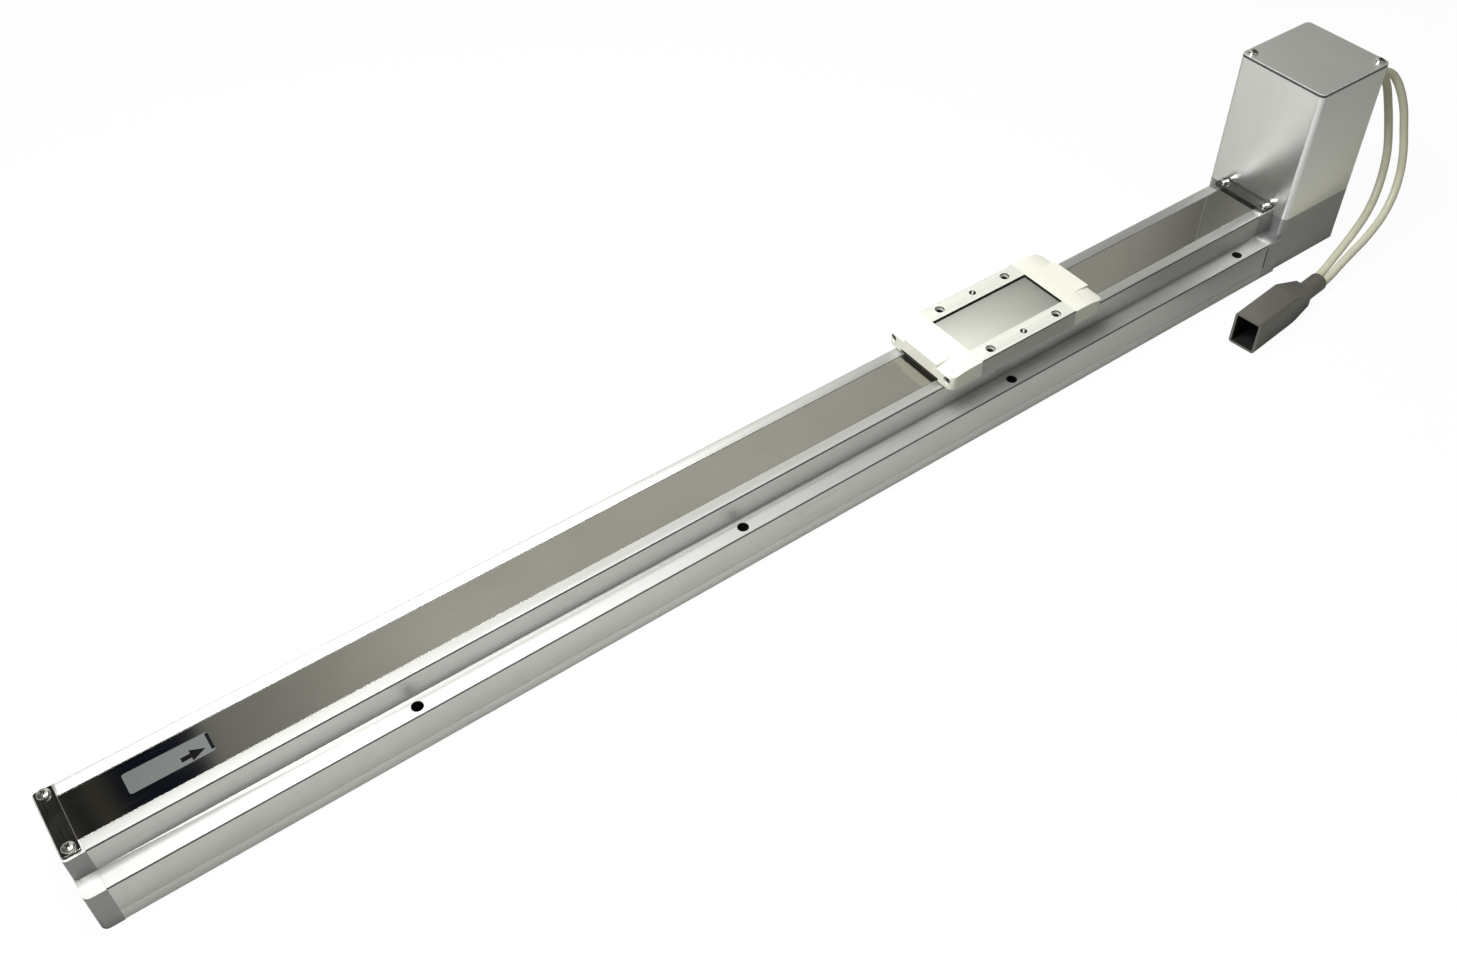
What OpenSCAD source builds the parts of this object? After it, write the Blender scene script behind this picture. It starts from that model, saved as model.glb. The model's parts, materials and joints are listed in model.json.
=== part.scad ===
// Ball screw linear module, built as separate named pieces.
// Lengths are in millimetres and angles in degrees.
// X runs along the travel toward the drive tower, Y runs across, Z points up.
// The body rests on the plane z = 0, and x = 0 is halfway along the module.

/* [Travel] */
// how far the carriage travels
stroke = 500; // [120:10:700]
// where the carriage rests, measured from its near limit
rest_travel = 375; // [0:5:500]
// body length kept free beyond the near limit
near_margin = 58; // [48:1:100]
// body length kept free beyond the far limit
far_margin = 4.5; // [3.5:0.5:30]

/* [Body] */
// width of the body over its two mounting flanges
body_width = 58; // [56:1:66]
// height of the mounting flanges
flange_height = 23.8; // [22:0.2:28]
// width of the raised middle of the body
upper_width = 37.2; // [37:0.1:39]
// height of the raised middle of the body
body_height = 37.7; // [37:0.1:40]
// length of the near end block
near_block_length = 9; // [8:0.5:14]
// diameter of the mounting holes through the flanges
mount_hole_diameter = 5.5; // [4.5:0.1:6.5]
// distance between mounting holes along the body
mount_pitch = 170; // [120:5:180]
// distance between the two rows of mounting holes
mount_rows = 48; // [46.5:0.5:50]

/* [Carriage] */
// length of the metal table
table_length = 64; // [60:1:90]
// width of the table
table_width = 48; // [46:1:56]
// height of the table top above the resting plane
table_height = 48; // [47.8:0.1:52]
// length of each plastic band holder on the ends of the table
holder_length = 20; // [18:0.5:26]
// distance between the threaded table holes along the travel
table_pitch_x = 45; // [36:1:48]
// distance between the threaded table holes across the travel
table_pitch_y = 38; // [37:0.5:39]
// drilled diameter of the threaded table holes
table_hole_diameter = 4.2; // [3.3:0.1:5]
// width of the cover plate in the middle of the table
cover_plate_width = 27.2; // [27:0.1:28]

/* [Ball screw] */
// outside diameter of the screw
screw_diameter = 10; // [9.4:0.2:10]
// distance the nut travels in one turn
screw_lead = 20; // [16:1:25]
// height of the screw axis above the resting plane
axis_height = 18.5; // [18.4:0.1:19]
// diameter of the balls in the nut
nut_ball_diameter = 2; // [1.8:0.1:2.1]
// diameter of the nut
nut_diameter = 17; // [16.4:0.2:17]
// length of the nut
nut_length = 24; // [20:1:34]
// diameter of the balls in the linear guide
guide_ball_diameter = 3; // [2.6:0.1:3]

/* [Drive tower] */
// length of the neck between the body and the tower
neck_length = 12; // [10:0.5:16]
// side of the square tower
tower_side = 55; // [55:0.5:60]
// height of the grey block the tower stands on
block_height = 34.4; // [34:0.1:36]
// height of the tower without its lid
tower_height = 111.6; // [111.6:0.2:130]
// thickness of the lid
lid_thickness = 2; // [1.5:0.1:3]
// side of the square motor
motor_side = 42; // [40:0.5:42]
// number of teeth on each of the two pulleys
pulley_teeth = 20; // [18:1:20]
// distance from one belt tooth to the next
belt_pitch = 3; // [2.9:0.05:3]
// belt pitches along each straight side of the belt
belt_straight_teeth = 23; // [22:1:23]

/* [Cables] */
// diameter of each of the two cables
cable_diameter = 4.6; // [4:0.1:4.6]
// width of the connector hood
hood_width = 16; // [15:0.5:18]
// height of the connector hood
hood_height = 20; // [18:0.5:22]

/* [Hidden] */
$fn = 64;

// clearances
gap = 0.3;
fine_gap = 0.1;
over = 1;

// shaft radii of the two screw sizes used inside
screw3_r = 1.5;
screw2_r = 1.25;

// stations along the travel
carriage_length = table_length + 2 * holder_length;
body_length = near_margin + carriage_length + stroke + far_margin;
overall_length = near_block_length + body_length + neck_length + tower_side;
x_near = -overall_length / 2;
x_body = x_near + near_block_length;
x_neck = x_body + body_length;
x_tower = x_neck + neck_length;
x_back = x_tower + tower_side;
x_carriage = x_body + near_margin + holder_length + table_length / 2 + rest_travel;
x_table = x_carriage - table_length / 2;

// body section
wall = 2.5;
floor_height = 5;
cavity_half = upper_width / 2 - wall;
lip_thickness = 3.5;
band_floor = body_height - 0.5;
cavity_top = band_floor - lip_thickness;
slot_half = 9;
band_half = 12;
band_thickness = 0.3;
band_top = band_floor + band_thickness;
recess_half = band_half + gap;
magnet_width = 2.2;
magnet_depth = 1.5;
magnet_y = 10.7;
edge = 0.5;
side_groove_height = 7;
mount_offset = 136;
mount_count = floor((body_length - mount_offset - 15) / mount_pitch) + 1;
mount_first = x_body + mount_offset;

// linear guide
rail_half = cavity_half - fine_gap;
rail_wall = 4;
rail_base = 3.5;
rail_inner = rail_half - rail_wall;
rail_floor = floor_height + rail_base;
rail_top = 24;
guide_rows = [rail_floor + 6, rail_floor + 12.5];
guide_y = rail_inner - 0.3;
guide_ball_r = guide_ball_diameter / 2;
guide_balls_per_row = 12;
rail_screw_count = 8;

// slide block and table
block_half = rail_inner - 0.6;
block_bottom = rail_floor + 0.5;
block_shoulder = 24.5;
web_bottom = body_height + 1;
web_thickness = 2.8;
web_top = web_bottom + web_thickness;
neck_half = slot_half - 0.6;
table_half = table_width / 2;
band_rise = web_top + gap;
plate_half = cover_plate_width / 2;
channel_half = plate_half + 0.2;
ledge_height = table_height - 3.5;
plate_top = table_height - 1;
holder_bottom = web_bottom + 1.8;
holder_screw_y = table_half - 4;
holder_screw_z = table_height - 4.5;
holder_tap = (table_length - table_pitch_x - table_hole_diameter) / 2 - 1;

// ball screw
screw_r = screw_diameter / 2;
ball_r = nut_ball_diameter / 2;
ball_circle = screw_r + 0.25;
track_r = ball_r + gap;
relief_r = 0.9 * (ball_circle - track_r);
lead_angle = atan(screw_lead / (2 * PI * ball_circle));
nut_r = nut_diameter / 2;
bumper_gap = 3;
near_bumper_length = 10;
holder_block_length = 16;
x_near_limit = x_body + near_margin + holder_length;
x_bumper = x_near_limit - bumper_gap - near_bumper_length;
x_holder = x_bumper - holder_block_length;
x_thread = x_bumper + 1;
x_thread_end = x_neck - 6;
thread_length = x_thread_end - x_thread;
far_bumper_length = holder_length + far_margin - bumper_gap;
journal_r = 4;
tail_r = 3;

// bearings
support_outer_r = 8.5;
support_width = 6;
x_support = x_bumper - 2 - support_width;
fixed_outer_r = 11;
fixed_width = 7;
fixed_count = 2;
x_fixed = x_neck + 1;
x_wall = x_fixed + fixed_count * fixed_width;
retainer_thickness = 2.5;
lock_nut_length = 5;
x_lock = x_wall;

// drive
block_half_width = tower_side / 2;
tower_wall = 2;
block_wall = 3;
lid_post = 4.2;
top_plate = 4;
cover_floor = 1.8;
pulley_pitch_r = pulley_teeth * belt_pitch / (2 * PI);
pulley_r = pulley_pitch_r - 0.5;
belt_inner_r = pulley_r + 0.15;
belt_back = 1.2;
belt_width = 6;
tooth_r = 0.8;
motor_height = axis_height + belt_straight_teeth * belt_pitch;
flange_r = pulley_r + 2.3;
x_belt = x_back - tower_wall - 5.3 - belt_width;
x_pulley = x_belt - 0.5;
x_plate = x_pulley - 1 - 1.7 - 4;
plate_thickness = 4;
bracket_half = motor_side / 2 + 1;
bracket_foot = 20;
foot_thickness = 4;
motor_length = x_plate - x_tower - tower_wall - 1;
cap_length = 8;
x_motor = x_plate - motor_length;
motor_hole = 15.5;
rotor_r = 12;
bore_r = rotor_r + 0.4;
shaft_r = 2.5;
motor_bearing_r = 6.5;
motor_bearing_width = 4;

// cables
cable_r = cable_diameter / 2;
power_exit = [x_back, -19.2, 102.4];
signal_exit = [x_back, -12.4, 102.4];
hood_yaw = 6;
hood_tip = [x_back - 120.5, -62.2, 0];
hood_wall = 1.4;
hood_corner = 1.8;
sleeve_length = 34;
taper_length = 22;
neck_tube_length = 15;
neck_tube_r = 5.3;
neck_tube_z = 6.5;

// ---------- helpers ----------

module along_x(length) {
    rotate([90, 0, 90])
        linear_extrude(length)
            children();
}

module rod_x(r, length) {
    rotate([0, 90, 0])
        cylinder(r = r, h = length);
}

module box(x0, x1, y0, y1, z0, z1) {
    translate([x0, y0, z0])
        cube([x1 - x0, y1 - y0, z1 - z0]);
}

// plan of a block with chosen corner radius, one pair of corners at each end
module soft_plan(x0, x1, half, r_near, r_far) {
    difference() {
        translate([x0, -half])
            square([x1 - x0, 2 * half]);
        if (r_near > 0)
            for (s = [-1, 1])
                corner_cut(x0, s * half, 1, -s, r_near);
        if (r_far > 0)
            for (s = [-1, 1])
                corner_cut(x1, s * half, -1, -s, r_far);
    }
}

module corner_cut(x, y, dx, dy, r) {
    difference() {
        translate([x + (dx > 0 ? -over : -r), y + (dy > 0 ? -over : -r)])
            square([r + over, r + over]);
        translate([x + dx * r, y + dy * r])
            circle(r);
    }
}

// screw with a low domed cross-recess head, pointing down from z = 0
module pan_screw(r, length) {
    difference() {
        union() {
            translate([0, 0, -length])
                cylinder(r = r, h = length);
            cylinder(r = 1.85 * r, h = 0.6 * r);
            translate([0, 0, 0.6 * r])
                cylinder(r1 = 1.85 * r, r2 = 1.5 * r, h = 0.35 * r);
            translate([0, 0, 0.95 * r])
                cylinder(r1 = 1.5 * r, r2 = 0.9 * r, h = 0.2 * r);
        }
        for (a = [0, 90])
            rotate([0, 0, a])
                translate([-0.8 * r, -0.16 * r, 0.5 * r])
                    cube([1.6 * r, 0.32 * r, r]);
    }
}

// screw with a round socket head, pointing down from z = 0
module socket_screw(r, length, head) {
    difference() {
        union() {
            translate([0, 0, -length])
                cylinder(r = r, h = length);
            cylinder(r = 1.8 * r, h = head);
        }
        translate([0, 0, 0.45 * head])
            cylinder(r = 0.85 * r, h = head, $fn = 6);
    }
}

// flat countersunk screw with its top at z = 0
module flat_screw(r, length) {
    difference() {
        union() {
            translate([0, 0, -length])
                cylinder(r = r, h = length);
            translate([0, 0, -0.9 * r])
                cylinder(r1 = r, r2 = 1.9 * r, h = 0.9 * r);
        }
        translate([0, 0, -0.5 * r])
            cylinder(r = 0.7 * r, h = r, $fn = 6);
    }
}

module flat_sink(r, length) {
    translate([0, 0, -length])
        cylinder(r = r, h = length + over);
    translate([0, 0, -0.9 * r])
        cylinder(r1 = r, r2 = 1.9 * r, h = 0.9 * r);
    cylinder(r = 1.9 * r, h = over);
}

module race(circle_r, r) {
    rotate([0, 90, 0])
        rotate_extrude()
            translate([circle_r, 0])
                circle(r);
}

module outer_ring(x, z, outer, inner, width, r) {
    circle_r = (outer + inner) / 2;
    translate([x, 0, z])
        difference() {
            rod_x(outer, width);
            translate([-over, 0, 0])
                rod_x(circle_r + 0.45 * r, width + 2 * over);
            translate([width / 2, 0, 0])
                race(circle_r, r);
        }
}

module inner_ring(x, z, outer, inner, width, r) {
    circle_r = (outer + inner) / 2;
    translate([x, 0, z])
        difference() {
            rod_x(circle_r - 0.55 * r, width);
            translate([-over, 0, 0])
                rod_x(inner, width + 2 * over);
            translate([width / 2, 0, 0])
                race(circle_r, r + gap);
        }
}

module ball_ring(x, z, outer, inner, width, r, count) {
    circle_r = (outer + inner) / 2;
    for (i = [0 : count - 1])
        translate([x + width / 2, 0, z])
            rotate([i * 360 / count, 0, 0])
                translate([0, circle_r, 0])
                    sphere(r);
}

// ---------- body ----------

module body_outline() {
    h = body_width / 2;
    u = upper_width / 2;
    polygon([
        [-h + edge, 0], [h - edge, 0], [h, edge], [h, flange_height - edge],
        [h - edge, flange_height], [u, flange_height], [u, body_height - edge],
        [u - edge, body_height], [-u + edge, body_height], [-u, body_height - edge],
        [-u, flange_height], [-h + edge, flange_height], [-h, flange_height - edge], [-h, edge]
    ]);
}

module body_section() {
    difference() {
        body_outline();
        translate([-cavity_half, floor_height])
            square([2 * cavity_half, cavity_top - floor_height]);
        translate([-slot_half, cavity_top - over])
            square([2 * slot_half, lip_thickness + 2 * over]);
        translate([-recess_half, band_floor])
            square([2 * recess_half, over]);
        for (s = [-1, 1]) {
            translate([s * magnet_y - magnet_width / 2, band_floor - magnet_depth])
                square([magnet_width, magnet_depth + over]);
            translate([s * body_width / 2 - 0.6, side_groove_height - 0.5])
                square([1.2, 1]);
            translate([s * (body_width / 2 - 4) - 1.5, -over])
                square([3, 0.6 + over]);
        }
        translate([-14, -over])
            square([28, 0.6 + over]);
    }
}

end_screw_y = 20.8;
end_screw_z = [8.5, 17.5];
end_screw_depth = 12;
rail_screw_inset = 24;
rail_screw_first = x_body + rail_screw_inset;
rail_screw_step = (body_length - 2 * rail_screw_inset) / (rail_screw_count - 1);

module body_extrusion() {
    color("silver")
        difference() {
            translate([x_body, 0, 0])
                along_x(body_length)
                    body_section();
            for (i = [0 : mount_count - 1], s = [-1, 1])
                translate([mount_first + i * mount_pitch, s * mount_rows / 2, -over])
                    cylinder(d = mount_hole_diameter, h = flange_height + 2 * over);
            for (s = [-1, 1], z = end_screw_z) {
                translate([x_body - over, s * end_screw_y, z])
                    rod_x(1.5, end_screw_depth + over);
                translate([x_neck - end_screw_depth, s * end_screw_y, z])
                    rod_x(1.5, end_screw_depth + over);
            }
            for (i = [0 : rail_screw_count - 1])
                translate([rail_screw_first + i * rail_screw_step, 0, 1.6])
                    cylinder(r = 1.5, h = floor_height);
        }
}

module near_end_block() {
    color("lightgray")
        difference() {
            union() {
                linear_extrude(flange_height)
                    soft_plan(x_near, x_body, body_width / 2, 3, 0);
                linear_extrude(body_height)
                    soft_plan(x_near, x_body, upper_width / 2, 2, 0);
            }
            box(x_near + 3, x_body + over, -recess_half, recess_half, band_floor, body_height + over);
            for (s = [-1, 1]) {
                for (z = end_screw_z)
                    translate([x_near - over, s * end_screw_y, z]) {
                        rod_x(1.7, near_block_length + 2 * over);
                        rod_x(3, 3 + over);
                    }
                translate([x_near + 4.3, s * clamp_screw_y, body_height - 5])
                    cylinder(r = screw3_r, h = 6);
            }
        }
}

module near_end_screws() {
    color("dimgray")
        for (s = [-1, 1], z = end_screw_z)
            translate([x_near + 3, s * end_screw_y, z])
                rotate([0, -90, 0])
                    socket_screw(1.5, near_block_length - 3 + end_screw_depth - 1, 2.4);
}

// ---------- band and clamps ----------

clamp_screw_y = 14.5;
clamp_half = clamp_screw_y + 1.85 * screw3_r + 0.2;
clamp_thickness = 1.4;
clamp_screw_length = 5.5;

module band_clamp(x0, x1, screw_x) {
    difference() {
        union() {
            translate([0, 0, body_height])
                linear_extrude(clamp_thickness)
                    soft_plan(x0, x1, clamp_half, 1, 1);
            box(x0 + 2.6, x1, -band_half, band_half, band_top, body_height + 0.2);
        }
        for (s = [-1, 1])
            translate([screw_x, s * clamp_screw_y, body_height - over])
                cylinder(r = screw3_r + 0.2, h = clamp_thickness + 2 * over);
    }
}

module near_band_clamp() {
    color("dimgray")
        band_clamp(x_near + 0.6, x_near + 8.2, x_near + 4.3);
}

module near_clamp_screws() {
    color("gainsboro")
        for (s = [-1, 1])
            translate([x_near + 4.3, s * clamp_screw_y, body_height + clamp_thickness])
                pan_screw(screw3_r, clamp_screw_length);
}

module far_band_clamp() {
    color("dimgray")
        mirror([1, 0, 0])
            band_clamp(-x_tower + 0.3, -x_tower + 8.2, -x_tower + 3.4);
}

module far_clamp_screws() {
    color("gainsboro")
        for (s = [-1, 1])
            translate([x_tower - 3.4, s * clamp_screw_y, body_height + clamp_thickness])
                pan_screw(screw3_r, clamp_screw_length);
}

module seal_magnets() {
    color("#5a5048")
        for (s = [-1, 1])
            box(x_body + 1, x_neck - 1, s * magnet_y - magnet_width / 2,
                s * magnet_y + magnet_width / 2, band_floor - magnet_depth, band_floor);
}

ramp_start = x_table - holder_length + 4.5;
ramp_end = x_table - 1;
far_ramp_end = x_table + table_length + holder_length - 4.5;
far_ramp_start = x_table + table_length + 1;

// the band lies in the recess and lifts over the web of the table
module seal_band() {
    t = band_thickness;
    color("#8a857c")
        translate([0, band_half, 0])
            rotate([90, 0, 0])
                linear_extrude(2 * band_half)
                    polygon([
                        [x_near + 3.1, band_floor], [ramp_start, band_floor],
                        [ramp_end, band_rise], [far_ramp_start, band_rise],
                        [far_ramp_end, band_floor], [x_tower - 2.9, band_floor],
                        [x_tower - 2.9, band_floor + t], [far_ramp_end, band_floor + t],
                        [far_ramp_start, band_rise + t], [ramp_end, band_rise + t],
                        [ramp_start, band_floor + t], [x_near + 3.1, band_floor + t]
                    ]);
}

// ---------- linear guide ----------

module guide_rail() {
    color("#9a9ca0")
        difference() {
            translate([x_body + 1, 0, 0])
                along_x(body_length - 2)
                    difference() {
                        translate([-rail_half, floor_height])
                            square([2 * rail_half, rail_top - floor_height]);
                        translate([-rail_inner, rail_floor])
                            square([2 * rail_inner, rail_top]);
                        for (s = [-1, 1], z = guide_rows)
                            translate([s * guide_y, z])
                                circle(guide_ball_r + gap);
                    }
            for (i = [0 : rail_screw_count - 1])
                translate([rail_screw_first + i * rail_screw_step, 0, floor_height - over]) {
                    cylinder(r = 1.7, h = rail_base + 2 * over);
                    translate([0, 0, over + 1])
                        cylinder(r = 2.9, h = rail_base + over);
                }
            for (s = [-1, 1])
                translate([x_holder + 4, s * 8, floor_height + 0.6])
                    cylinder(r = 1.25, h = rail_base + over);
        }
}

module guide_rail_screws() {
    color("dimgray") {
        for (i = [0 : rail_screw_count - 1])
            translate([rail_screw_first + i * rail_screw_step, 0, floor_height + 1])
                socket_screw(screw3_r, rail_base + 0.7, 2.2);
        for (s = [-1, 1])
            translate([x_holder + 4, s * 8, rail_floor + 3])
                socket_screw(screw2_r, 5.7, 2);
    }
}

module slide_section() {
    difference() {
        union() {
            translate([-block_half, block_bottom])
                square([2 * block_half, block_shoulder - block_bottom]);
            translate([-neck_half, block_bottom])
                square([2 * neck_half, web_bottom - block_bottom]);
        }
        for (s = [-1, 1], z = guide_rows)
            translate([s * guide_y, z])
                circle(guide_ball_r);
    }
}

table_screws_x = [-22, 22];
table_screws_y = [-4.8, 4.8];

module slide_block() {
    color("#85888c")
        difference() {
            translate([x_table, 0, 0])
                along_x(table_length)
                    slide_section();
            translate([x_table - over, 0, axis_height])
                rod_x(screw_r + 1, table_length + 2 * over);
            translate([x_carriage - nut_length / 2 - 2.5, 0, axis_height])
                rod_x(nut_r, table_length / 2 + nut_length / 2 + 2.5 + over);
            for (dx = table_screws_x, y = table_screws_y)
                translate([x_carriage + dx, y, web_bottom - 7])
                    cylinder(r = 1.5, h = 8);
            translate([x_carriage, 0, axis_height])
                cylinder(r = 1.5, h = web_bottom);
        }
}

module guide_balls() {
    step = (table_length - 6) / (guide_balls_per_row - 1);
    color("gainsboro")
        for (s = [-1, 1], z = guide_rows, i = [0 : guide_balls_per_row - 1])
            translate([x_table + 3 + i * step, s * guide_y, z])
                sphere(guide_ball_r, $fn = 32);
}

// ---------- table ----------

module table_section() {
    t = table_half;
    h = table_height;
    polygon([
        [-t, web_bottom], [t, web_bottom], [t, h - edge], [t - edge, h], [channel_half, h],
        [channel_half, ledge_height], [recess_half, ledge_height], [recess_half, web_top],
        [-recess_half, web_top], [-recess_half, ledge_height], [-channel_half, ledge_height],
        [-channel_half, h], [-t + edge, h], [-t, h - edge]
    ]);
}

module carriage_table() {
    color("whitesmoke")
        difference() {
            translate([x_table, 0, 0])
                along_x(table_length)
                    table_section();
            for (sx = [-1, 1], sy = [-1, 1]) {
                translate([x_carriage + sx * table_pitch_x / 2, sy * table_pitch_y / 2, web_bottom - over])
                    cylinder(d = table_hole_diameter, h = table_height);
                translate([
                    x_carriage + sx * (table_length / 2 - holder_tap), sy * holder_screw_y, holder_screw_z
                ])
                    rotate([0, sx * 90, 0])
                        cylinder(r = 1, h = holder_tap + over);
            }
            for (sy = [-1, 1])
                translate([x_carriage, sy * table_pitch_y / 2, table_height - 4])
                    cylinder(r = 1.25, h = 5);
            for (dx = table_screws_x, y = table_screws_y)
                translate([x_carriage + dx, y, web_top])
                    flat_sink(1.5, web_thickness + over);
        }
}

module table_screws() {
    color("dimgray")
        for (dx = table_screws_x, y = table_screws_y)
            translate([x_carriage + dx, y, web_top])
                flat_screw(1.5, web_thickness + 6);
}

// plate between the side bars, with a tongue under each band holder
module centre_plate() {
    color("lightgray") {
        box(x_table, x_table + table_length, -plate_half, plate_half, ledge_height, plate_top);
        for (x = [x_table - 1.2, x_table + table_length])
            box(x, x + 1.2, -plate_half + 0.6, plate_half - 0.6, ledge_height, ledge_height + 1.2);
    }
}

// distance from the middle of a holder to its two ears
ear_y = 12.2;
ear_length = 11;
ear_radius = 51;

// what the falling top of an ear leaves out, seen from the side
module ear_drop() {
    difference() {
        translate([-holder_length - over, table_height - 3])
            square([ear_length + over, 3 + over]);
        translate([
            -holder_length + ear_length + ear_radius * sin(4),
            table_height - ear_radius * cos(4)
        ])
            circle(ear_radius, $fn = 256);
    }
}

// band holder for the near end of the table, with x = 0 at the table face
module band_holder() {
    hollow_half = plate_half - 0.6;
    difference() {
        union() {
            difference() {
                translate([0, 0, web_bottom])
                    linear_extrude(table_height - web_bottom)
                        soft_plan(-holder_length, 0, table_half, 4, 0);
                box(-holder_length - over, over, -14, 14, web_bottom - over, holder_bottom);
            }
        }
        translate([0, hollow_half, 0])
            rotate([90, 0, 0])
                linear_extrude(2 * hollow_half)
                    polygon([
                        [-holder_length + 3.4, holder_bottom - over], [over, holder_bottom - over],
                        [over, ledge_height + 1.2], [-1.2, ledge_height + 1.2],
                        [-1.2, ledge_height], [-3, ledge_height],
                        [-holder_length + 3.4, holder_bottom + 0.6]
                    ]);
        for (s = [-1, 1]) {
            translate([-holder_length - over, s * holder_screw_y, holder_screw_z]) {
                rod_x(1.15, holder_length + 2 * over);
                rod_x(2.1, 2.4 + over);
            }
        }
        for (y = [-table_half - over, ear_y])
            translate([0, y + table_half + over - ear_y, 0])
                rotate([90, 0, 0])
                    linear_extrude(table_half + over - ear_y)
                        ear_drop();
    }
}

module near_band_holder() {
    color("white")
        translate([x_table, 0, 0])
            band_holder();
}

module far_band_holder() {
    color("white")
        translate([x_table + table_length, 0, 0])
            mirror([1, 0, 0])
                band_holder();
}

module holder_screws() {
    color("gainsboro")
        for (sx = [-1, 1], sy = [-1, 1])
            translate([
                x_carriage + sx * (table_length / 2 + holder_length - 2.4),
                sy * holder_screw_y, holder_screw_z
            ])
                rotate([0, sx * 90, 0])
                    socket_screw(1, holder_length - 2.4 + holder_tap - 0.4, 1.6);
}

module band_wipers() {
    color("#2b2b2b")
        for (x = [x_table - holder_length + 0.6, x_table + table_length + holder_length - 3.2])
            box(x, x + 2.6, -band_half, band_half, band_top + gap, holder_bottom);
}

// ---------- ball screw ----------

// depth of the ball track across the screw, at an angle from its middle
function track_depth(a, r) =
    let (w = ball_circle * a * PI / 180 * sin(lead_angle))
    w < r ? sqrt(r * r - w * w) : 0;

// angle from the middle of a track to where it meets a given radius
function track_edge(r, land_r) =
    sqrt(r * r - pow(ball_circle - land_r, 2)) / (ball_circle * sin(lead_angle)) * 180 / PI;

screw_edge = track_edge(track_r, screw_r);
screw_half_angles = [0, 0.52 * screw_edge, screw_edge];
land_step = (180 - 2 * screw_edge) / 3;

function polar(r, a) = [r * cos(a), r * sin(a)];

screw_outline = [
    for (start = [0, 180])
        each [
            polar(screw_r, start - screw_edge),
            polar(ball_circle - track_depth(0.52 * screw_edge, track_r), start - 0.52 * screw_edge),
            polar(ball_circle - track_depth(0, track_r), start),
            polar(ball_circle - track_depth(0.52 * screw_edge, track_r), start + 0.52 * screw_edge),
            polar(screw_r, start + screw_edge),
            polar(screw_r, start + screw_edge + land_step),
            polar(screw_r, start + screw_edge + 2 * land_step)
        ]
];

module ball_screw() {
    x_tail_end = x_back - tower_wall - 2.5;
    color("#b9bbbd") {
        translate([x_thread, 0, axis_height])
            rotate([90, 0, 90])
                linear_extrude(thread_length, twist = -360 * thread_length / screw_lead,
                               slices = round(12 * thread_length / screw_lead), $fn = 12)
                    polygon(screw_outline);
        difference() {
            translate([x_support - 3, 0, axis_height])
                rod_x(tail_r, x_thread - 3 - x_support + 3);
            translate([x_support - 1.3, 0, axis_height])
                difference() {
                    rod_x(tail_r + over, 0.9);
                    translate([-over, 0, 0])
                        rod_x(tail_r - 0.4, 0.9 + 2 * over);
                }
        }
        translate([x_thread - 3, 0, axis_height])
            rod_x(journal_r, 2);
        for (x = [x_thread - 1, x_thread_end - 2])
            translate([x, 0, axis_height])
                rod_x(relief_r, 3);
        translate([x_thread_end + 1, 0, axis_height])
            rod_x(screw_r, x_fixed - x_thread_end - 1);
        translate([x_fixed, 0, axis_height])
            rod_x(journal_r, x_lock + lock_nut_length + 1 - x_fixed);
        translate([x_lock + lock_nut_length + 1, 0, axis_height])
            rod_x(tail_r, x_tail_end - x_lock - lock_nut_length - 1);
    }
}

nut_track_r = ball_r + 0.12;
nut_bore_r = screw_r + 0.45;
nut_edge = track_edge(nut_track_r, nut_bore_r);
nut_land_step = (180 - 2 * nut_edge) / 6;
x_nut = x_carriage - nut_length / 2;
nut_phase = 360 * (x_nut - x_thread) / screw_lead;

nut_bore = [
    for (start = [0, 180])
        each concat(
            [for (f = [-1, -0.67, -0.33, 0, 0.33, 0.67, 1])
                polar(abs(f) == 1 ? nut_bore_r : ball_circle + track_depth(f * nut_edge, nut_track_r),
                      start + f * nut_edge)],
            [for (i = [1 : 5]) polar(nut_bore_r, start + nut_edge + i * nut_land_step)]
        )
];

module ball_nut() {
    color("#77797c")
        difference() {
            translate([x_nut, 0, axis_height])
                rod_x(nut_r, nut_length);
            translate([x_nut - 0.5, 0, axis_height])
                rotate([90, 0, 90])
                    rotate([0, 0, nut_phase - 180 / screw_lead])
                        linear_extrude(nut_length + 1, twist = -360 * (nut_length + 1) / screw_lead,
                                       slices = round(30 * (nut_length + 1) / screw_lead), $fn = 12)
                            polygon(nut_bore);
            translate([x_carriage, 0, axis_height + nut_r - 1.2])
                cylinder(r = 1.2, h = 3);
        }
}

nut_ball_step = 1.45;
nut_ball_count = floor((nut_length - 4) / nut_ball_step);

module nut_balls() {
    first = (nut_length - (nut_ball_count - 1) * nut_ball_step) / 2;
    color("gainsboro")
        for (start = [0, 180], i = [0 : nut_ball_count - 1])
            translate([x_nut + first + i * nut_ball_step, 0, axis_height])
                rotate([start + nut_phase + 360 * (first + i * nut_ball_step) / screw_lead, 0, 0])
                    translate([0, ball_circle, 0])
                        sphere(ball_r, $fn = 32);
}

// rings that close the nut, with a seal lip clear of the screw
module nut_end_rings() {
    color("#e8e4d8")
        for (x = [x_nut - 2.5, x_nut + nut_length])
            translate([x, 0, axis_height])
                difference() {
                    rod_x(nut_r, 2.5);
                    translate([-over, 0, 0])
                        rod_x(screw_r + 0.5, 2.5 + 2 * over);
                }
}

// ---------- near support ----------

module bearing_holder() {
    h = rail_inner - fine_gap;
    color("#707478")
        difference() {
            box(x_holder, x_bumper, -h, h, rail_floor, rail_floor + 20.5);
            translate([x_holder - over, 0, axis_height])
                rod_x(support_outer_r, x_support + support_width - x_holder + over);
            translate([x_holder, 0, axis_height])
                rod_x(screw_r + 1, holder_block_length + over);
            box(x_holder - over, x_holder + 7.5, -h - over, h + over,
                rail_floor + 3, rail_floor + 30);
            for (s = [-1, 1])
                translate([x_holder + 4, s * 8, rail_floor - over])
                    cylinder(r = 1.45, h = 6);
        }
}

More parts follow.
